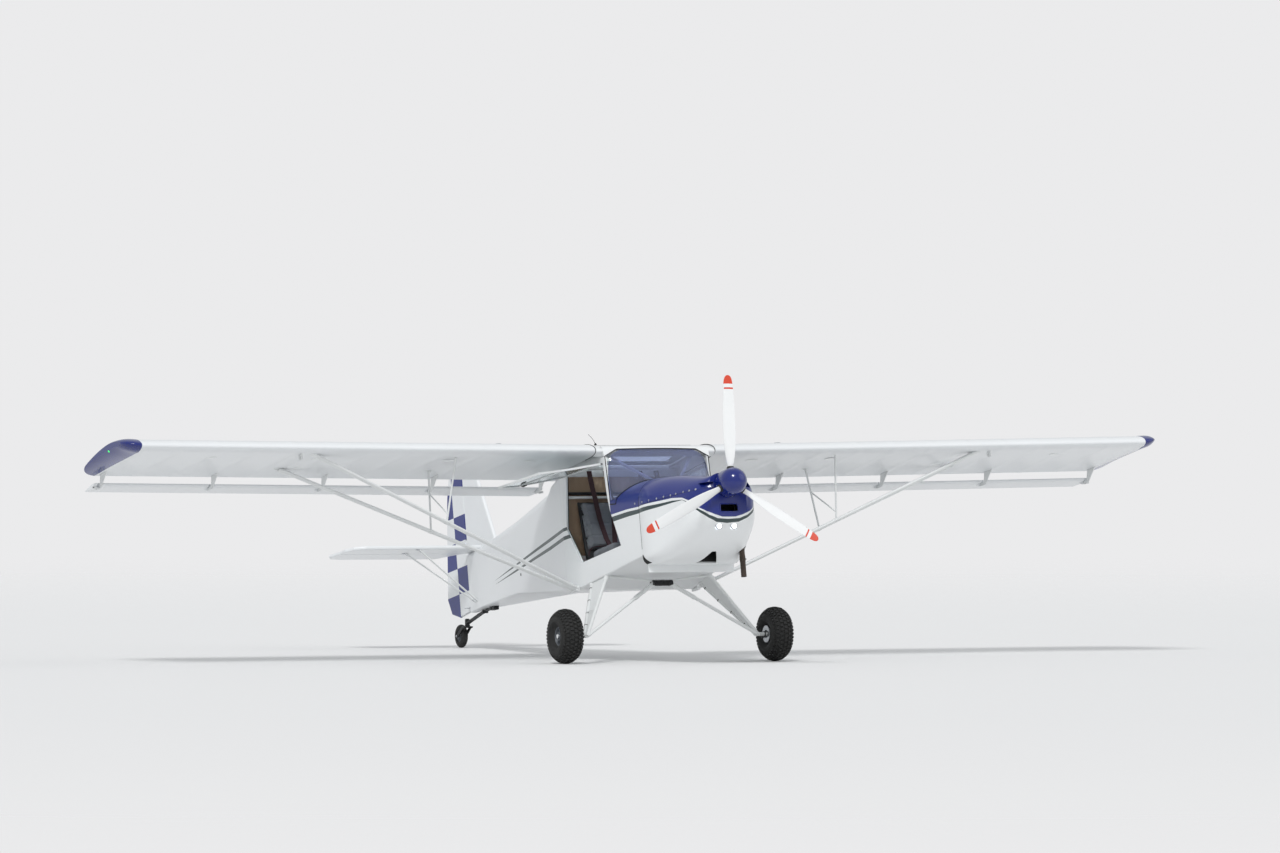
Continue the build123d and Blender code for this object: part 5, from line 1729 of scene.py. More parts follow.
@dataclass
class Gear(Assembly):
    """Landing gear's small parts: shock cord, cabane tubes, clamps, brake lines and strut fittings.

    Args:
        bungee: Station and height of the shock cord block.
    """

    bungee: tuple[float, float] = (135.0, 458.0)

    # Where the front and the rear tube of the port leg end at the axle
    FOOT = (774.0, 0.0, 0.0)
    REAR_FOOT = (774.0, 45.0, 9.0)
    # Share of the way up the leg at which the band lies
    BAND_AT = 0.42

    def build(self) -> None:
        """Builds the small parts of both legs."""
        self.front_top = Vector((LINES.side_x(190) - 24, 190, LINES.keel_at(190) + 6))
        self.rear_top = Vector((LINES.side_x(440) - 24, 440, LINES.keel_at(440) + 6))
        self._cabane()
        self._shock_cord()
        self._leg_fittings()
        self._brake_lines()

    def _cabane(self) -> None:
        """Thin tubes that carry the shock cord, and the plates at its ends."""
        y, z = self.bungee
        tube = self.rod((58, y, z + 17), (self.front_top.x - 8, self.front_top.y, self.front_top.z - 12), 11)
        gusset = self.plate([(-26, -30), (26, -30), (34, 12), (20, 31), (-20, 31), (-34, 12)], (76, y, z), AFT, UP, 3)
        spreader = self.rod((0, y, z + 22), (66, y, z + 22), 9)
        self.fit([tube, gusset, spreader], "cabane_tubes", TUBE_WHITE, both=True, replaces="gear_cabane")

    def _shock_cord(self) -> None:
        """Turns of shock cord round the strut heads, a little uneven, as wound by hand."""
        y, z = self.bungee
        turns = []
        for i in range(11):
            x = 8 + 7.8 * i
            lean = 2.2 * math.sin(i * 2.4)
            reach, tall = 36 + 2.5 * math.sin(i * 1.7), 17 + 1.2 * math.cos(i * 2.1)
            points = []
            for k in range(16):
                turn = math.tau * k / 16
                edge = max(abs(math.cos(turn)), abs(math.sin(turn))) ** 0.6
                points.append(
                    (x + lean * math.sin(turn), y + reach * math.cos(turn) / edge, z + tall * math.sin(turn) / edge)
                )
            turns.append(self.tube(points, 4.6, closed=True))
        core = self.block((0, y - 22, z - 9), (84, y + 22, z + 9), 5)
        self.fit([*turns, core], "shock_cord", SHOCK_CORD, both=True)

    def _leg_fittings(self) -> None:
        """Lugs where the tubes meet the fuselage, the band and pin of each leg, and the shock struts' collars."""
        pieces = []
        foot = Vector(self.FOOT)
        for top in (self.front_top, self.rear_top):
            down = (foot - top).normalized()
            pieces.append(self.rod(top + down * 16, top + down * 62, 18.5, 17, 28))
            seat = top + down * 40
            across = down.cross(Vector(AFT)).normalized()
            pieces.append(self.rod(seat - across * 23, seat + across * 23, 5, sides=12))
        a, b = (
            low.lerp(top, self.BAND_AT)
            for low, top in ((foot, self.front_top), (Vector(self.REAR_FOOT), self.rear_top))
        )
        side = (b - a).normalized()
        out = (self.front_top - foot).cross(side).normalized()
        line = [
            a - side * 17 + out * 3, a + out * 17.5, b + out * 17.5, b + side * 17, b - out * 17.5, a - out * 17.5,
        ]
        pieces.append(self.tube(line, 2.6, closed=True))
        pin = foot + Vector((-4, 0, 2))
        pieces.append(self.rod(pin - Vector((0, 24, 0)), pin + Vector((0, 24, 0)), 7, sides=16))
        head = self.bolts(7, [(pin - Vector((0, 23, 0)), (0, -1, 0))])
        self.fit([*pieces, head], "gear_fittings", TUBE_WHITE, both=True)
        head_end, low_end = Vector((66, *self.bungee)), Vector((764, 0, 6))
        sleeve = self.rod(head_end.lerp(low_end, 0.27), head_end.lerp(low_end, 0.288), 19.4, 19.4, 28)
        wiper = self.rod(head_end.lerp(low_end, 0.288), head_end.lerp(low_end, 0.3), 18, 15, 28)
        boot = self.rod(low_end.lerp(head_end, 0.015), low_end.lerp(head_end, 0.05), 16.5, 15, 28)
        self.fit([sleeve, wiper, boot], "shock_strut_collars", TUBE_WHITE, both=True)

    def _brake_lines(self) -> None:
        """Rigid brake line clipped along the rear tube of each leg."""
        start = self.rear_top + Vector((0, 12, 10))
        end = Vector(self.REAR_FOOT)
        offset = Vector((6, 17.5, 6))
        along = [self.rear_top.lerp(end, share) + offset for share in (0.06, 0.35, 0.7, 0.93)]
        points = [start, *along, (800, 82, 34), (846, 104, 34), (862, 112, 24)]
        line = self.tube(points, 2.6)
        clips = []
        for share in (0.12, 0.35, 0.58, 0.81):
            seat = self.rear_top.lerp(end, share)
            way = (end - self.rear_top).normalized()
            clips.append(self.rod(seat - way * 3.5, seat + way * 3.5, 16.4, 16.4, 28))
            clips.append(self.rod(seat + offset - way * 3.5, seat + offset + way * 3.5, 4.4, 4.4, 12))
        self.fit([line, *clips], "brake_lines", BLACK_ABS, both=True)


@dataclass
class Struts(Assembly):
    """End cuffs, lugs and bolts of the lift struts, and the jury strut clamps.

    Args:
        chord: Length of a strut's oval section.
        thick: Thickness of that section.
        jury_x: Distance of the jury struts from the middle plane.
    """

    chord: float = 62.0
    thick: float = 28.0
    jury_x: float = 1770.0

    def build(self) -> None:
        """Builds the fittings of both sides."""
        cuffs, lugs = [], []
        for rear in (False, True):
            foot, head = LINES.strut(rear)
            way = (head - foot).normalized()
            cuffs.append(self._cuff(head - way * 116, way, 92))
            cuffs.append(self._cuff(foot + way * 24, way, 80))
            cuffs.append(self._cuff(foot.lerp(head, (self.jury_x - foot.x) / (head.x - foot.x)) - way * 12, way, 24))
            lugs += self._wing_lug(3054, head.y) + self._wing_lug(1716, 800 if rear else 215, 0.6)
        lugs += [self.bolts(9, [((LINES.side_x(y) + 34, y, 498), ACROSS)]) for y in (606, 684)]
        for rear in (False, True):
            foot, head = LINES.strut(rear)
            spot = foot.lerp(head, (self.jury_x - foot.x) / (head.x - foot.x))
            lugs.append(self.rod(spot - Vector((0, 36, 0)), spot + Vector((0, 36, 0)), 5, sides=12))
        self.fit(cuffs, "strut_cuffs", TUBE_WHITE, both=True)
        self.fit(lugs, "strut_lugs", TUBE_WHITE, both=True)
        self._shackles()

    def _cuff(self, start: Vector, way: Vector, length: float) -> Piece:
        """Oval sleeve round a strut."""
        aft = (Vector(AFT) - way * way.y).normalized()
        a, b = self.chord / 2 + 2.2, self.thick / 2 + 2.2
        oval = [
            (a * math.copysign(abs(math.cos(t)) ** 0.8, math.cos(t)), b * math.sin(t))
            for t in (math.tau * i / 36 for i in range(36))
        ]
        return self.plate(oval, start, aft, way.cross(aft), length, 1.2)

    def _wing_lug(self, x: float, y: float, size: float = 1.0) -> list[Piece]:
        """Plate under the wing with a lug and its cross bolt."""
        z = LINES.under_wing(x, y)
        plate = self.block((x - 46 * size, y - 22 * size, z - 7), (x + 46 * size, y + 22 * size, z + 2), 1.5)
        lug = self.block((x - 26 * size, y - 7 * size, z - 26 * size), (x + 22 * size, y + 7 * size, z), 2)
        pin = self.rod((x, y - 36 * size, z - 15 * size), (x, y + 36 * size, z - 15 * size), 6 * size, sides=12)
        heads = [self.bolts(6.5 * size, [((x + s * 34 * size, y, z - 7), DOWN)]) for s in (-1, 1)]
        return [plate, lug, pin, *heads]

    def _shackles(self) -> None:
        """Tie-down loop through each mooring ring plate."""
        x, y = 3125, 165
        z = LINES.under_wing(x, y) - 54
        loop = [(x + 17 * math.cos(t), y, z - 8 + 19 * math.sin(t)) for t in (math.tau * i / 20 for i in range(20))]
        self.fit([self.tube(loop, 2.6, closed=True)], "tie_down_loops", TUBE_WHITE, both=True)


@dataclass
class Glazing(Assembly):
    """Seals of the windscreen and skylight, covers of its posts, and the strip above it.

    Args:
        seal_radius: Radius of the windscreen's seal.
    """

    seal_radius: float = 4.6

    def build(self) -> None:
        """Builds the seals and the strip."""
        self._screen_seals()
        self._nose_strip()
        self._skylight_seal()
        self._post_covers()

    def _post_covers(self) -> None:
        """White cover strips on the posts between the screen and the doors."""
        outline = [(14, 1186), (45, 1180), (49, 1200), (75.5, 1440), (75, 1494), (42, 1494), (38, 1470)]
        slope = LINES.side_way
        out = slope.cross(Vector(UP))
        origin = Vector((LINES.side_x(0), 0, 0)) - out * 0.6
        cover = self.plate([(y / slope.y, z) for y, z in outline], origin, slope, UP, 2.2, 0.9)
        middle = sum((corner.co for corner in cover.data.vertices), Vector()) / len(cover.data.vertices) / MM
        wanted = Vector((LINES.side_x(middle.y), middle.y, middle.z)) + out * 0.5
        cover.data.transform(Matrix.Translation((wanted - middle) * MM))
        self.fit([cover], "screen_post_covers", WHITE_PAINT, both=True)

    def _top_edge(self, x: float) -> tuple[float, float]:
        """Station and height of the screen's upper edge, which drops at its corners."""
        z = 1560 - max(0.0, abs(x) - 360) * 87 / 160
        return min(LINES.screen(x, z), 39.7), z

    def _screen_seals(self) -> None:
        """Seal along the scuttle, up both posts and over the top."""
        base = []
        for i in range(49):
            x = 470 * math.sin(math.pi / 2 * (i / 24 - 1))
            z = 1200.0
            for _ in range(12):
                z = LINES.scuttle(x, min(LINES.screen(x, z), 9.0))
            base.append((x, min(LINES.screen(x, z), 9.0) - 2, z + 1.5))
        top = [(x, *self._top_edge(x)) for x in (473 * math.sin(math.pi / 2 * (i / 20 - 1)) for i in range(41))]
        seals = [self.tube(base, self.seal_radius), self.tube([(x, y - 1.5, z + 1) for x, y, z in top], 4.0)]
        for side in Side:
            s = side.value
            post = [
                (s * (LINES.side_x(20) - 3.5), 6, 1112),
                (s * (LINES.side_x(24) - 3.5), 9.5, 1171),
                (s * (LINES.side_x(45) - 3.5), 38, 1496),
            ]
            seals.append(self.tube(post, 3.6, smooth=False))
        self.fit(seals, "screen_seals", SEAL_RUBBER)

    def _nose_strip(self) -> None:
        """White strip from the screen's upper edge back onto the roof."""
        def place(column: int, row: int) -> Point:
            x = -478 + 956 * column / 48
            y, z = self._top_edge(x)
            _, y_roof, z_roof = LINES.wing_point(0, 0.05, True, -0.6)
            t = row / 10
            bend = (y + 2, 1590)
            start = (y - 2, z - 1)
            return (
                x,
                *(
                    (1 - t) ** 2 * a + 2 * t * (1 - t) * b + t * t * c
                    for a, b, c in zip(start, bend, (y_roof, z_roof))
                ),
            )

        strip = self.surface(place, 49, 11, fill=False)
        self.outward(strip)
        self.thicken(strip, 2.4)
        self.deliver(strip, "screen_top_strip", WHITE_PAINT)

    def _skylight_seal(self) -> None:
        """Seal and screws round the clear roof panel."""
        def at(x: float, y: float) -> Point:
            return x, y, LINES.roof_z(y) + 0.6

        edge = [at(x, 262) for x in range(-420, 421, 60)] + [at(430, y) for y in range(280, 760, 60)]
        edge += [at(x, 758) for x in range(420, -421, -60)] + [at(-430, y) for y in range(740, 262, -60)]
        self.deliver(self.tube(edge, 3.0, closed=True, smooth=False), "skylight_seal", SEAL_RUBBER)
        spots = [
            at(x, y) for x in range(-400, 401, 100) for y in (276, 744)
        ] + [at(x, y) for x in (-416, 416) for y in range(360, 700, 100)]
        screws = self.row(self.screw(5), [self.facing(p, (0, (p[1] - 400) * 0.0004, 1)) for p in spots])
        self.deliver(screws, "skylight_screws", MILLED_ALUMINIUM)


@dataclass
class Cockpit(Assembly):
    """Glareshield, instruments, radio stack, throttle, stick grips, pedals, floor mat, curtain and a dark cloth sheet
    under the roof as painted shade.

    Args:
        face_y: Station of the panel's aft face.
        seat_x: Distance of a seat's middle from the middle plane.
    """

    face_y: float = -162.0
    seat_x: float = 232.0

    # Round instruments: across, height and radius
    GAUGES = (
        (-300, 1148, 40), (-206, 1148, 40), (206, 1148, 40), (300, 1148, 40), (-300, 1058, 28), (-206, 1058, 28),
        (206, 1058, 28), (300, 1058, 28), (-118, 1172, 28), (118, 1172, 28),
    )

    def build(self) -> None:
        """Builds everything on the panel and the floor."""
        self._glareshield()
        self._gauges()
        self._radio()
        self._grips()
        self._pedals()
        self._mat()
        self._curtain()
        self._headliner()

    def _headliner(self) -> None:
        """Dark cloth sheet under the roof, ahead of the skylight and behind it: painted shade over the roof's pale
        underside.
        """
        sheets = []
        for first, last in ((112, 254), (766, 960)):
            def place(column: int, row: int) -> Point:
                y = first + (last - first) * row / 6
                return -440 + 880 * column / 12, y, LINES.roof_z(y) - 18

            sheet = self.surface(place, 13, 7, fill=False)
            sheets.append(self.thicken(sheet, 1.5))
        self.fit(sheets, "roof_underside_painted_shade", GREY_CLOTH)

    def _curtain(self) -> None:
        """Tan cloth hung over the rear bulkhead, with a black harness bar and a white tube across it."""
        wall = Skin(self.stance, [self.nodes["cabin_tub"]])
        back = wall.seat((0, 500, 1330), AFT).translation.y
        half = wall.seat((0, back - 12, 1330), ACROSS).translation.x - 2

        def place(column: int, row: int) -> Point:
            share = 2 * column / 72 - 1
            return half * share, back - 7 - 3 * math.sin(column * 1.1), 800 + 660 * row / 10

        cloth = self.surface(place, 73, 11, fill=False)
        self.thicken(cloth, 1.5)
        self.deliver(cloth, "bulkhead_curtain", TAN_CLOTH, sharp=80)
        for name, z, finish in (("harness_bar", 1318, SPRING_STEEL), ("cross_tube", 1284, TUBE_WHITE)):
            self.deliver(self.rod((-half, back - 24, z), (half, back - 24, z), 12), name, finish)

    def _glareshield(self) -> None:
        """Black deck from the windscreen to the panel, with a padded lip."""
        reach = 392.0

        def place(column: int, row: int) -> Point:
            x = -reach + 2 * reach * column / 40
            front = min(LINES.screen(x, LINES.scuttle(x, -240), 14), -150)
            y = front + (-112 - front) * row / 8
            return x, y, LINES.scuttle(x, y, 14)

        deck = self.surface(place, 41, 9, fill=False)
        self.outward(deck)
        self.thicken(deck, 4)
        lip = self.tube([(x, -112, LINES.scuttle(x, -112, 18)) for x in range(-390, 391, 30)], 9)
        self.fit([deck, lip], "glareshield", BLACK_ABS)

    def _gauges(self) -> None:
        """Round instruments with bezels, ticks and needles, and their glasses."""
        bezels, marks, glasses = [], [], []
        for i, (x, z, r) in enumerate(self.GAUGES):
            spot = (x, self.face_y, z)
            bezels.append(
                self.lathe([(-1, 0), (-1, r), (5, r), (7, r - 1.5), (7, r - 4), (3, r - 6), (3, 0)], spot, AFT, 36)
            )
            glasses.append(self.lathe([(4.6, 0), (4.6, r - 5.2), (5.2, r - 5.2), (5.6, 0)], spot, AFT, 30))
            out = Vector(AFT)
            for k in range(12):
                angle = math.tau * k / 12
                arm = Vector((math.sin(angle), 0, math.cos(angle)))
                long = 5 if k % 3 == 0 else 3
                mark = Vector(spot) + out * 3.3
                marks.append(self.rod(mark + arm * (r - 8 - long), mark + arm * (r - 8), 0.7, sides=6))
            angle = 0.8 + 1.9 * i
            arm = Vector((math.sin(angle), 0, math.cos(angle)))
            marks.append(
                self.rod(Vector(spot) + out * 4 - arm * 5, Vector(spot) + out * 4 + arm * (r - 11), 1.3, 0.4, sides=8)
            )
        self.fit(bezels, "gauge_bezels", BLACK_ABS)
        self.fit(marks, "gauge_marks", TUBE_WHITE)
        # Gauge glasses wear the faintly glowing lens finish: a painted glint
        self.fit(glasses, "gauge_glasses", GLINT_LENS)

    def _radio(self) -> None:
        """Blank radio stack, switch row, knobs and the throttle."""
        y = self.face_y
        stack = [self.block((-66, y - 1, z), (66, y + 9, z + 38), 2.5) for z in (1052, 1094)]
        screens = [self.block((-40, y + 8, z), (40, y + 9.6, z + 20), 0.8) for z in (1061, 1103)]
        knobs = [self.rod((x, y + 8, z), (x, y + 22, z), 7, 6, 18) for x in (-54, 54) for z in (1071, 1113)]
        switches = [
            self.rod((x, y, 1030), (x, y + 16, 1034), 3.4, 2.4, 12) for x in range(-150, 151, 30) if abs(x) > 20
        ]
        throttle = [
            self.rod((0, y, 1030), (0, y + 74, 1030), 5, sides=16), self.ball((0, y + 80, 1030), (17, 13, 17))
        ]
        self.fit([*stack, *knobs, *throttle], "radio_stack", BLACK_ABS)
        self.fit(screens, "radio_screens", CLEAR_SHEET)
        self.fit(switches, "switches", MILLED_ALUMINIUM)

    def _grips(self) -> None:
        """Moulded grips of the control sticks with their red buttons, and gaiters at their feet."""
        parts, buttons = [], []
        for x in (-self.seat_x, self.seat_x):
            foot, head = Vector((x, 20.5, 886)), Vector((x, 0, 1012))
            way = (head - foot).normalized()
            profile = [
                (0, 12), (0, 18.6), (6, 19.6), (16, 18.2), (30, 19.4), (44, 18), (58, 19.4), (72, 18), (86, 19.6),
                (104, 21), (120, 20.4), (130, 16), (133, 8), (133, 0),
            ]
            parts.append(self.lathe(profile, foot, way, 28))
            floor = LINES.keel_at(40) + 19
            gaiter = [(0, 58), (4, 58)] + [
                (8 + 9 * i, 54 - 5 * i - (4 if i % 2 else 0)) for i in range(8)
            ] + [(82, 13), (82, 0)]
            parts.append(self.lathe(gaiter, (x, 40, floor), (0, -0.06, 1), 32))
            buttons.append(
                self.rod(foot + way * 108 + Vector((0, 17, 0)), foot + way * 108 + Vector((0, 25, 0)), 6, 5, 18)
            )
        self.fit(parts, "stick_grips", SEAL_RUBBER)
        self.fit(buttons, "stick_buttons", RED_KNOB)

    def _pedals(self) -> None:
        """Rudder pedals on their cross tubes."""
        parts = []
        for x in (-300, -164, 164, 300):
            floor = LINES.keel_at(-330) + 18
            pad = self.block((x - 40, -342, floor + 60), (x + 40, -336, floor + 150), 4)
            treads = [
                self.block((x - 36, -337, floor + z), (x + 36, -332, floor + z + 6), 1.5) for z in range(68, 144, 14)
            ]
            arm = [
                self.rod((x + s * 30, -350, floor + 4), (x + s * 30, -340, floor + 132), 6, sides=14) for s in (-1, 1)
            ]
            parts += [pad, *treads, *arm]
        floor = LINES.keel_at(-350) + 18
        parts.append(self.rod((-380, -350, floor + 8), (380, -350, floor + 8), 9, sides=18))
        self.fit(parts, "rudder_pedals", SPRING_STEEL)

    def _mat(self) -> None:
        """Ribbed rubber mat on the footwell floor."""
        def place(column: int, row: int) -> Point:
            y = -415 + 510 * row / 60
            x = (LINES.side_x(y) - 30) * (2 * column / 8 - 1)
            return x, y, LINES.keel_at(y) + 21 + (1.8 if row % 2 else 0)

        mat = self.surface(place, 9, 61, fill=False)
        self.outward(mat)
        self.thicken(mat, 2.4, -1)
        self.deliver(mat, "floor_mat", MAT_RUBBER)


@dataclass
class Seats(Assembly):
    """Two seats: padded cushions blown up by cloth simulation, their shells and their belts.

    Args:
        seat_x: Distance of a seat's middle from the middle plane.
        half_width: Half width of a cushion before it swells.
        cap: How far a point may swell, in mm.
    """

    seat_x: float = 232.0
    half_width: float = 192.0
    cap: float = 14.0

    def build(self) -> None:
        """Builds both seats."""
        base = self._pad(
            (-self.half_width, 132, 722), (self.half_width, 540, 792), DOWN, ((1, 250), (1, 350), (1, 450)),
        )
        back = self._pad((-self.half_width, -30, 18), (self.half_width, 24, 440), AFT, ((2, 130), (2, 235), (2, 340)))
        lean = Matrix.Translation((0, 598, 800)) @ Matrix.Rotation(math.radians(-12.2), 4, "X")
        leaning = self.copy(back, self.metres(lean))
        bpy.data.objects.remove(back)
        shell = self._shell()
        belts, buckle = self._belts()
        for part, name, finish in (
            (base, "seat_base_pad", GREY_CLOTH),
            (leaning, "seat_back_pad", GREY_CLOTH),
            (shell, "seat_shell", BLACK_ABS),
            (belts, "seat_belts", BELT_WEBBING),
            (buckle, "belt_buckles", MILLED_ALUMINIUM),
        ):
            for side in Side:
                piece = self.copy(part, Matrix.Translation((side.value * self.seat_x * MM, 0, 0)))
                replaces = "seats" if name == "seat_shell" and side is Side.PORT else ""
                self.deliver(piece, f"{name}_{side.word}", finish, replaces=replaces, sharp=60)
            bpy.data.objects.remove(part)

    def _pad(self, low: Point, high: Point, rests: Point, channels: Sequence[tuple[int, float]]) -> Piece:
        """Cushion swollen from a box, flat where it rests, with sewn channels.

        Args:
            low: Lowest corner before it swells.
            high: Highest corner.
            rests: Direction of the side that it rests on.
            channels: Axis and place of each sewn line.

        Returns:
            The cushion about the middle plane.
        """
        pad = self.block(low, high, 20)
        self.modify(pad, "REMESH", mode="VOXEL", voxel_size=5.5 * MM)
        before = [vertex.co.copy() for vertex in pad.data.vertices]
        cloth = pad.modifiers.new("swell", "CLOTH")
        cloth.settings.use_pressure = True
        cloth.settings.uniform_pressure_force = 4
        cloth.settings.effector_weights.gravity = 0
        scene = bpy.context.scene
        for frame in range(1, 21):
            scene.frame_set(frame)
        self.focus(pad)
        bpy.ops.object.modifier_apply(modifier=cloth.name)
        scene.frame_set(1)
        down = Vector(rests)
        for vertex, start in zip(pad.data.vertices, before):
            move = vertex.co - start
            limit = self.cap * MM * (0.1 if vertex.normal.dot(down) > 0.5 else 1.0)
            if move.length > limit:
                move *= limit / move.length
            vertex.co = start + move
            for axis, place in channels:
                near = (vertex.co[axis] - place * MM) / (7 * MM)
                vertex.co -= vertex.normal * 6 * MM * math.exp(-near * near) * (
                    0 if vertex.normal.dot(down) > 0.5 else 1
                )
        return self.modify(pad, "SUBSURF", levels=1, render_levels=1)

    def _shell(self) -> Piece:
        """Seat box and back board."""
        floor = LINES.keel_at(110) + 19, LINES.keel_at(560) + 19
        outline = [
            (114, floor[0]), (556, floor[1]), (638, 762), (727, 1232), (707, 1236), (622, 812), (560, 722), (114, 722)
        ]
        return self.plate(outline, (-204, 0, 0), AFT, UP, 408, 5)

    def ribbon(self, points: Sequence[Point], width: float, thick: float) -> Piece:
        """Webbing of a width across X along points that run in the side view."""
        def place(column: int, row: int) -> Point:
            here = Vector(points[row])
            ahead, back = Vector(points[min(row + 1, len(points) - 1)]), Vector(points[max(row - 1, 0)])
            out = Vector(ACROSS).cross(ahead - back).normalized()
            side, lift = ((-1, 0), (1, 0), (1, 1), (-1, 1), (-1, 0))[column]
            return here + Vector((side * width / 2, 0, 0)) + out * thick * lift

        return self.surface(place, 5, len(points))

    def _belts(self) -> tuple[Piece, Piece]:
        """Shoulder straps over the back, lap straps over the base, and the buckle."""
        straps = []
        for x in (-74, 74):
            line = [
                (x, 722, 1500), (x, 706, 1430), (x, 684, 1360), (x, 660, 1296), (x, 640, 1250), (x, 626, 1196),
                (x * 0.9, 604, 1090), (x * 0.7, 582, 990), (x * 0.5, 560, 900), (x * 0.3, 530, 842),
                (x * 0.1, 478, 826),
            ]
            straps.append(self.ribbon(line, 44, -1.8))
        for s in (-1, 1):
            line = [
                (s * 214, 566, 760), (s * 206, 560, 810), (s * 170, 545, 833), (s * 110, 505, 830),
                (s * 50, 470, 828), (s * 12, 455, 828),
            ]
            straps += [self.tube([(x, y - drop, z) for x, y, z in line], 2.0) for drop in (0, 12, 24)]
        buckle = self.block((-30, 436, 825), (30, 484, 838), 4)
        tongue = self.ball((0, 460, 838), (14, 14, 5))
        return self.joined(straps), self.joined([buckle, tongue])


@dataclass
class Doors(Assembly):
    """Handles, frame screws and pane seals of the top-hung doors, and seals and sills of their openings.

    Args:
        open_angle: Angle at which the starboard door is stored open, in degrees.
    """

    open_angle: float = 80.0

    OUTLINE = ((78, 1455), (690, 1455), (744, 1019), (530, 701), (-115, 731), (15, 1034), (47, 1171))

    def on_side(self, y: float, z: float, out: float) -> Vector:
        """Point on the port side, a distance outboard of it."""
        return Vector((LINES.side_x(y), y, z)) + LINES.side_out * out

    def opened(self) -> Matrix:
        """Swings a piece made for the closed starboard door to where that door is stored."""
        pin = self.on_side(0, 1461, 6.5)
        pin.x = -pin.x
        way = Vector((-LINES.side_slope, 1, 0)).normalized()
        swing = Matrix.Rotation(math.radians(self.open_angle), 4, way)
        return Matrix.Translation(pin) @ swing @ Matrix.Translation(-pin)

    def hang(self, piece: Piece, name: str, finish: Finish) -> None:
        """Delivers a piece made for the port door to both doors."""
        other = self.mirrored(piece)
        other.data.transform(self.metres(self.opened()))
        self.deliver(piece, f"{name}_left", finish, "door_left")
        self.deliver(other, f"{name}_right", finish, "door_right")

    def build(self) -> None:
        """Builds what hangs on the doors and round their openings."""
        self.hang(self._screws(), "door_screws", MILLED_ALUMINIUM)
        self.hang(self._handle(), "door_handle", BLACK_ABS)
        self.hang(self._pane_seal(), "door_pane_seal", SEAL_RUBBER)
        self._opening_seals()
        self._sill()

    def _shrunk(self, amount: float) -> list[Vector]:
        """Outline of the opening moved inwards, as points in the side view."""
        points = [Vector(p) for p in self.OUTLINE]
        result = []
        for i, here in enumerate(points):
            d1, d2 = (here - points[i - 1]).normalized(), (points[(i + 1) % len(points)] - here).normalized()
            n1, n2 = Vector((d1.y, -d1.x)), Vector((d2.y, -d2.x))
            bisector = (n1 + n2).normalized()
            result.append(here + bisector * (amount / bisector.dot(n1)))
        return result

    def _screws(self) -> Piece:
        """Round-headed screws along the door's frame."""
        corners = self._shrunk(18)
        spots = []
        for i, here in enumerate(corners):
            ahead = corners[(i + 1) % len(corners)]
            count = max(1, round((ahead - here).length / 96))
            spots += [here.lerp(ahead, (k + 0.5) / count) for k in range(count)]
        out = LINES.side_out
        return self.row(self.screw(4), [self.facing(self.on_side(p.x, p.y, 0), out) for p in spots if p.y < 1420])

    def _handle(self) -> Piece:
        """Latch lever with its round boss, outside and inside."""
        out = LINES.side_out
        parts = []
        for spot, way in ((self.on_side(664, 1024, 0), out), (self.on_side(664, 1024, -16), -out)):
            parts.append(self.lathe([(-0.5, 0), (-0.5, 13), (4, 13), (6, 10), (6, 0)], spot, way, 28))
            tip = spot + way * 8 + Vector((-9, -92, -6)) * (1 if way.x > 0 else 0.8)
            parts.append(self.soften(self.rod(spot + way * 7, tip, 7.5, 5, 14), 1.5, 1))
        return self.joined(parts)

    def _pane_seal(self) -> Piece:
        """Black bead round each pane."""
        light = self._shrunk(31)
        upper = [light[0], light[1], Vector((714, 1032)), Vector((39, 1047)), Vector((49, 1060)), light[6]]
        lower = [p for p in (Vector((711, 1006)), *light[2:5], Vector((34, 1020))) if p.y < 1022]
        rings = [[self.on_side(p.x, p.y, -5.5) for p in ring] for ring in (upper, lower)]
        return self.joined([self.tube(ring, 2.6, closed=True, smooth=False) for ring in rings])

    def _opening_seals(self) -> None:
        """Rubber seal round each door opening, inside the closed door."""
        ring = [self.on_side(p.x, p.y, -21) for p in self._shrunk(-1)]
        self.fit([self.tube(ring, 4.6, closed=True, smooth=False)], "door_opening_seals", SEAL_RUBBER, both=True)

    def _sill(self) -> None:
        """Bright tread plate along the sill of each opening."""
        low = self._shrunk(0)
        a, b = low[3], low[4]
        plate = [
            self.on_side(p.x, p.y, o)
            for p, o in ((a.lerp(b, 0.1), -2), (a.lerp(b, 0.9), -2), (a.lerp(b, 0.9), -17), (a.lerp(b, 0.1), -17))
        ]
        strip = self.surface(lambda c, r: plate[c if r == 0 else 3 - c], 2, 2, fill=False)
        self.thicken(strip, 1.2)
        self.fit([strip], "sill_plates", MILLED_ALUMINIUM, both=True)


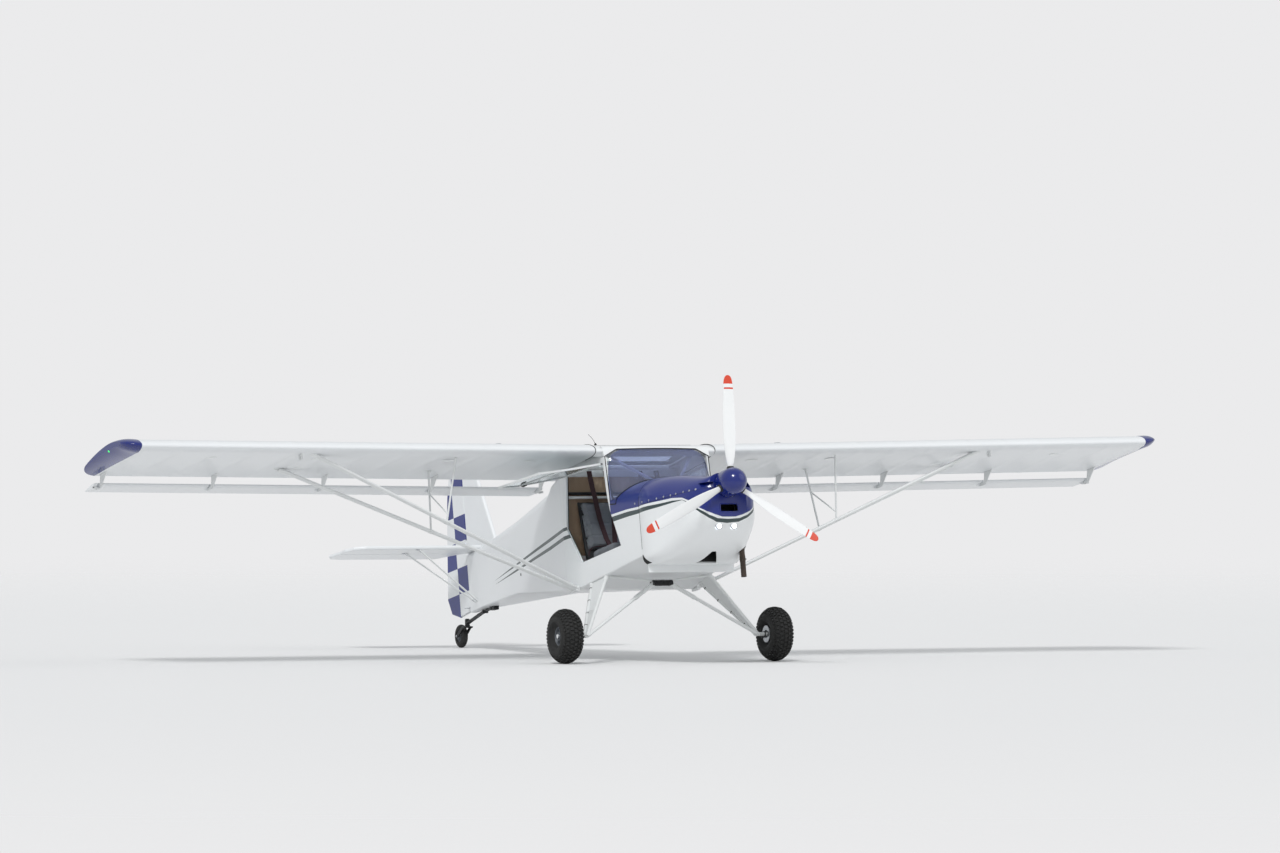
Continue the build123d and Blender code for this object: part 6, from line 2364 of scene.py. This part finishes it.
@dataclass
class Tail(Assembly):
    """Horns, cable fairleads, brace fittings, flaperon arms, static ports and the whip aerial."""

    def build(self) -> None:
        """Builds the small parts of the tail and the aerial."""
        self._rudder_horn()
        self._elevator_horn()
        self._brace_fittings()
        self._aerial()
        self._flaperon_arms()
        self._static_ports()

    def _static_ports(self) -> None:
        """Small black static port on each side of the rear fuselage."""
        skin = Skin(self.stance, [self.nodes["rear_fuselage"]])
        disc = self.lathe([(-1, 0), (-1, 13), (1.2, 13), (2, 11), (2, 3), (1, 2), (1, 0)], steps=28)
        ports = self.row(disc, [skin.seat((900, 2230, 890), (-1, 0, 0))])
        self.fit([ports], "static_ports", BLACK_ABS, both=True)

    def _rudder_horn(self) -> None:
        """Horn across the foot of the rudder, and the cable fairleads in the fuselage sides."""
        outline = [(-62, -8), (-62, 8), (-16, 16), (16, 16), (62, 8), (62, -8), (16, -22), (-16, -22)]
        horn = self.plate(outline, (0, 3992, 897), ACROSS, AFT, 4)
        self.deliver(horn, "rudder_horn", MILLED_ALUMINIUM, "rudder")
        lead = self.rod((92, 3470, 930), (78, 3520, 926), 5, 4, 14)
        self.fit([lead], "cable_fairleads", BLACK_ABS, both=True)

    def _elevator_horn(self) -> None:
        """Horn under the elevator."""
        horn = self.plate([(3906, 1362), (3940, 1362), (3922, 1290), (3908, 1288)], (24, 0, 0), AFT, UP, 4)
        self.deliver(horn, "elevator_horn", MILLED_ALUMINIUM, "elevator")

    def _brace_fittings(self) -> None:
        """Tangs and bolts at both ends of the tail braces."""
        parts = []
        for head, foot in (((600, 3672), (60, 3700)), ((650, 3860), (60, 3740))):
            top, low = Vector((*head, 1364)), Vector((*foot, 905))
            way = (top - low).normalized()
            parts.append(self.block((head[0] - 16, head[1] - 15, 1352), (head[0] + 16, head[1] + 15, 1357), 1.2))
            parts.append(self.rod(top - way * 42, top - way * 10, 9, 7, 18))
            parts.append(self.rod(low + way * 44, low + way * 10, 9, 7, 18))
            parts.append(self.bolts(5, [((*head, 1352), DOWN)]))
        self.fit(parts, "tail_brace_fittings", MILLED_ALUMINIUM, both=True)

    def _aerial(self) -> None:
        """Whip aerial with its rubber foot on the starboard wing root."""
        foot = Vector(LINES.wing_point(-478, 0.12, True))
        tip = foot + Vector((-44, 30, 92))
        base = self.lathe([(-2, 0), (-2, 12), (3, 11), (10, 6), (16, 3.4), (16, 0)], foot, UP, 24)
        whip = self.tube([foot, foot + Vector((-7, 5, 30)), foot + Vector((-22, 15, 62)), tip], 1.8)
        self.fit([base, whip], "whip_aerial", BLACK_ABS)

    def _flaperon_arms(self) -> None:
        """Arm of each flaperon at its two ends, with a round weight."""
        for side in Side:
            parts = []
            for x in (560, 4526):
                y, z = 1179.2, 1395.2 + LINES.rise(x)
                arm = [
                    (y - 66, z - 14), (y - 66, z - 2), (y - 4, z + 12), (y + 40, z + 22), (y + 40, z + 6),
                    (y, z - 12),
                ]
                parts.append(self.plate([(a - y, b - z) for a, b in arm], (x, y, z), AFT, UP, 4))
                parts.append(self.rod((x - 4, y - 60, z - 8), (x + 10, y - 60, z - 8), 9, sides=18))
            piece = self.sided(self.joined(parts), side)
            self.deliver(piece, f"flaperon_arms_{side.word}", TUBE_WHITE, f"flaperon_{side.word}")


@dataclass
class Studio:
    """Floor, light and camera.

    Args:
        stance: How the airframe stands in the frame.
        floor_tone: Brightness of the floor and of what shows behind it.
        sky_light: Strength of the even light all round.
        camera_place: The camera's place, in metres, from the airframe's datum along Y.
        camera_target: The point that it looks at, the same way.
        camera_roll: Its roll in degrees.
        lens_mm: Its focal length on a sensor 36 mm wide.
    """

    stance: Stance
    floor_tone: float = 0.83
    sky_light: float = 0.62
    camera_place: tuple[float, float, float] = (-36.459, -78.414, 2.758)
    camera_target: tuple[float, float, float] = (-0.247, 0.114, 1.937)
    camera_roll: float = 0.089
    lens_mm: float = 296.5

    def build(self) -> None:
        """Builds the floor, the lights and the camera."""
        self._world()
        self._floor()
        self._lamps()
        self._camera()

    def _world(self) -> None:
        """Even studio light; what the camera, mirrors and glass see of it is the pale backdrop."""
        world = bpy.data.worlds.new("studio")
        bpy.context.scene.world = world
        world.use_nodes = True
        tree = world.node_tree
        tree.nodes.clear()
        tone = self.floor_tone
        seen = add_node(tree, "ShaderNodeBackground", {"Color": (tone, tone, tone * 1.01, 1), "Strength": 1.0})
        light = add_node(tree, "ShaderNodeBackground", {"Color": (0.96, 0.98, 1, 1), "Strength": self.sky_light})
        path = add_node(tree, "ShaderNodeLightPath").outputs
        shown = calc(tree, "MAXIMUM", path["Is Camera Ray"], path["Is Transmission Ray"])
        mix = add_node(tree, "ShaderNodeMixShader", {0: shown, 1: light.outputs[0], 2: seen.outputs[0]})
        add_node(tree, "ShaderNodeOutputWorld", {0: mix.outputs[0]})

    def _floor(self) -> None:
        """Pale floor that fades into the backdrop far from the aircraft."""
        bpy.ops.object.select_all(action="DESELECT")
        bpy.ops.mesh.primitive_circle_add(vertices=96, radius=60, fill_type="NGON")
        floor = bpy.context.object
        floor.name = "studio_floor"
        material = bpy.data.materials.new("pale_matt_floor")
        material.use_nodes = True
        tree = material.node_tree
        shader = tree.nodes["Principled BSDF"]
        shader.inputs["Base Color"].default_value = (0.78, 0.78, 0.78, 1)
        shader.inputs["Roughness"].default_value = 0.9
        place = add_node(tree, "ShaderNodeTexCoord").outputs["Object"]
        reach = add_node(tree, "ShaderNodeVectorMath", {0: place}, operation="LENGTH").outputs["Value"]
        fade = add_node(
            tree,
            "ShaderNodeMapRange",
            {"Value": reach, "From Min": 9.0, "From Max": 40.0},
            interpolation_type="SMOOTHSTEP",
        )
        clear = add_node(tree, "ShaderNodeBsdfTransparent")
        mix = add_node(tree, "ShaderNodeMixShader", {0: fade.outputs[0], 1: shader.outputs[0], 2: clear.outputs[0]})
        tree.links.new(mix.outputs[0], tree.nodes["Material Output"].inputs[0])
        floor.data.materials.append(material)

    def _lamps(self) -> None:
        """A broad key from above the camera's left and a weak fill from its right."""
        for name, strength, tilt, turn, spread in (("key", 1.55, 42, -38, 14), ("fill", 0.35, 62, 60, 50)):
            data = bpy.data.lights.new(name, "SUN")
            data.energy = strength
            data.angle = math.radians(spread)
            lamp = bpy.data.objects.new(name, data)
            lamp.rotation_euler = (math.radians(tilt), 0, math.radians(turn))
            bpy.context.scene.collection.objects.link(lamp)

    def _camera(self) -> None:
        """Camera at the photograph's place, far off with a long lens."""
        datum = Vector((0, self.stance.shift[1], 0))
        data = bpy.data.cameras.new("photograph_camera")
        data.lens = self.lens_mm
        data.sensor_width = 36
        data.clip_end = 600
        camera = bpy.data.objects.new("photograph_camera", data)
        place = Vector(self.camera_place) + datum
        target = Vector(self.camera_target) + datum
        look = (target - place).to_track_quat("-Z", "Y")
        roll = Matrix.Rotation(math.radians(self.camera_roll), 4, "Z")
        camera.matrix_world = Matrix.Translation(place) @ look.to_matrix().to_4x4() @ roll
        bpy.context.scene.collection.objects.link(camera)
        bpy.context.scene.camera = camera


def main() -> None:
    """Builds and dresses every piece, in order."""
    logging.basicConfig(level=logging.INFO, format="%(name)s: %(message)s")
    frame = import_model()
    scene = bpy.context.scene
    scene.view_settings.view_transform = "Standard"
    stance = Stance.parked(attitude=10.999237, axle=(45, 9))
    wardrobe = Wardrobe(stance)
    Studio(stance).build()
    FrameFinishes(wardrobe, frame["nodes"]).build()
    LOG.info("frame finishes done")
    for assembly in (Wings, Nose, Propeller, Wheels, TailWheel, Gear, Struts, Glazing, Cockpit, Seats, Doors, Tail):
        assembly(stance, wardrobe, frame["nodes"]).build()


if __name__ == "__main__":
    main()
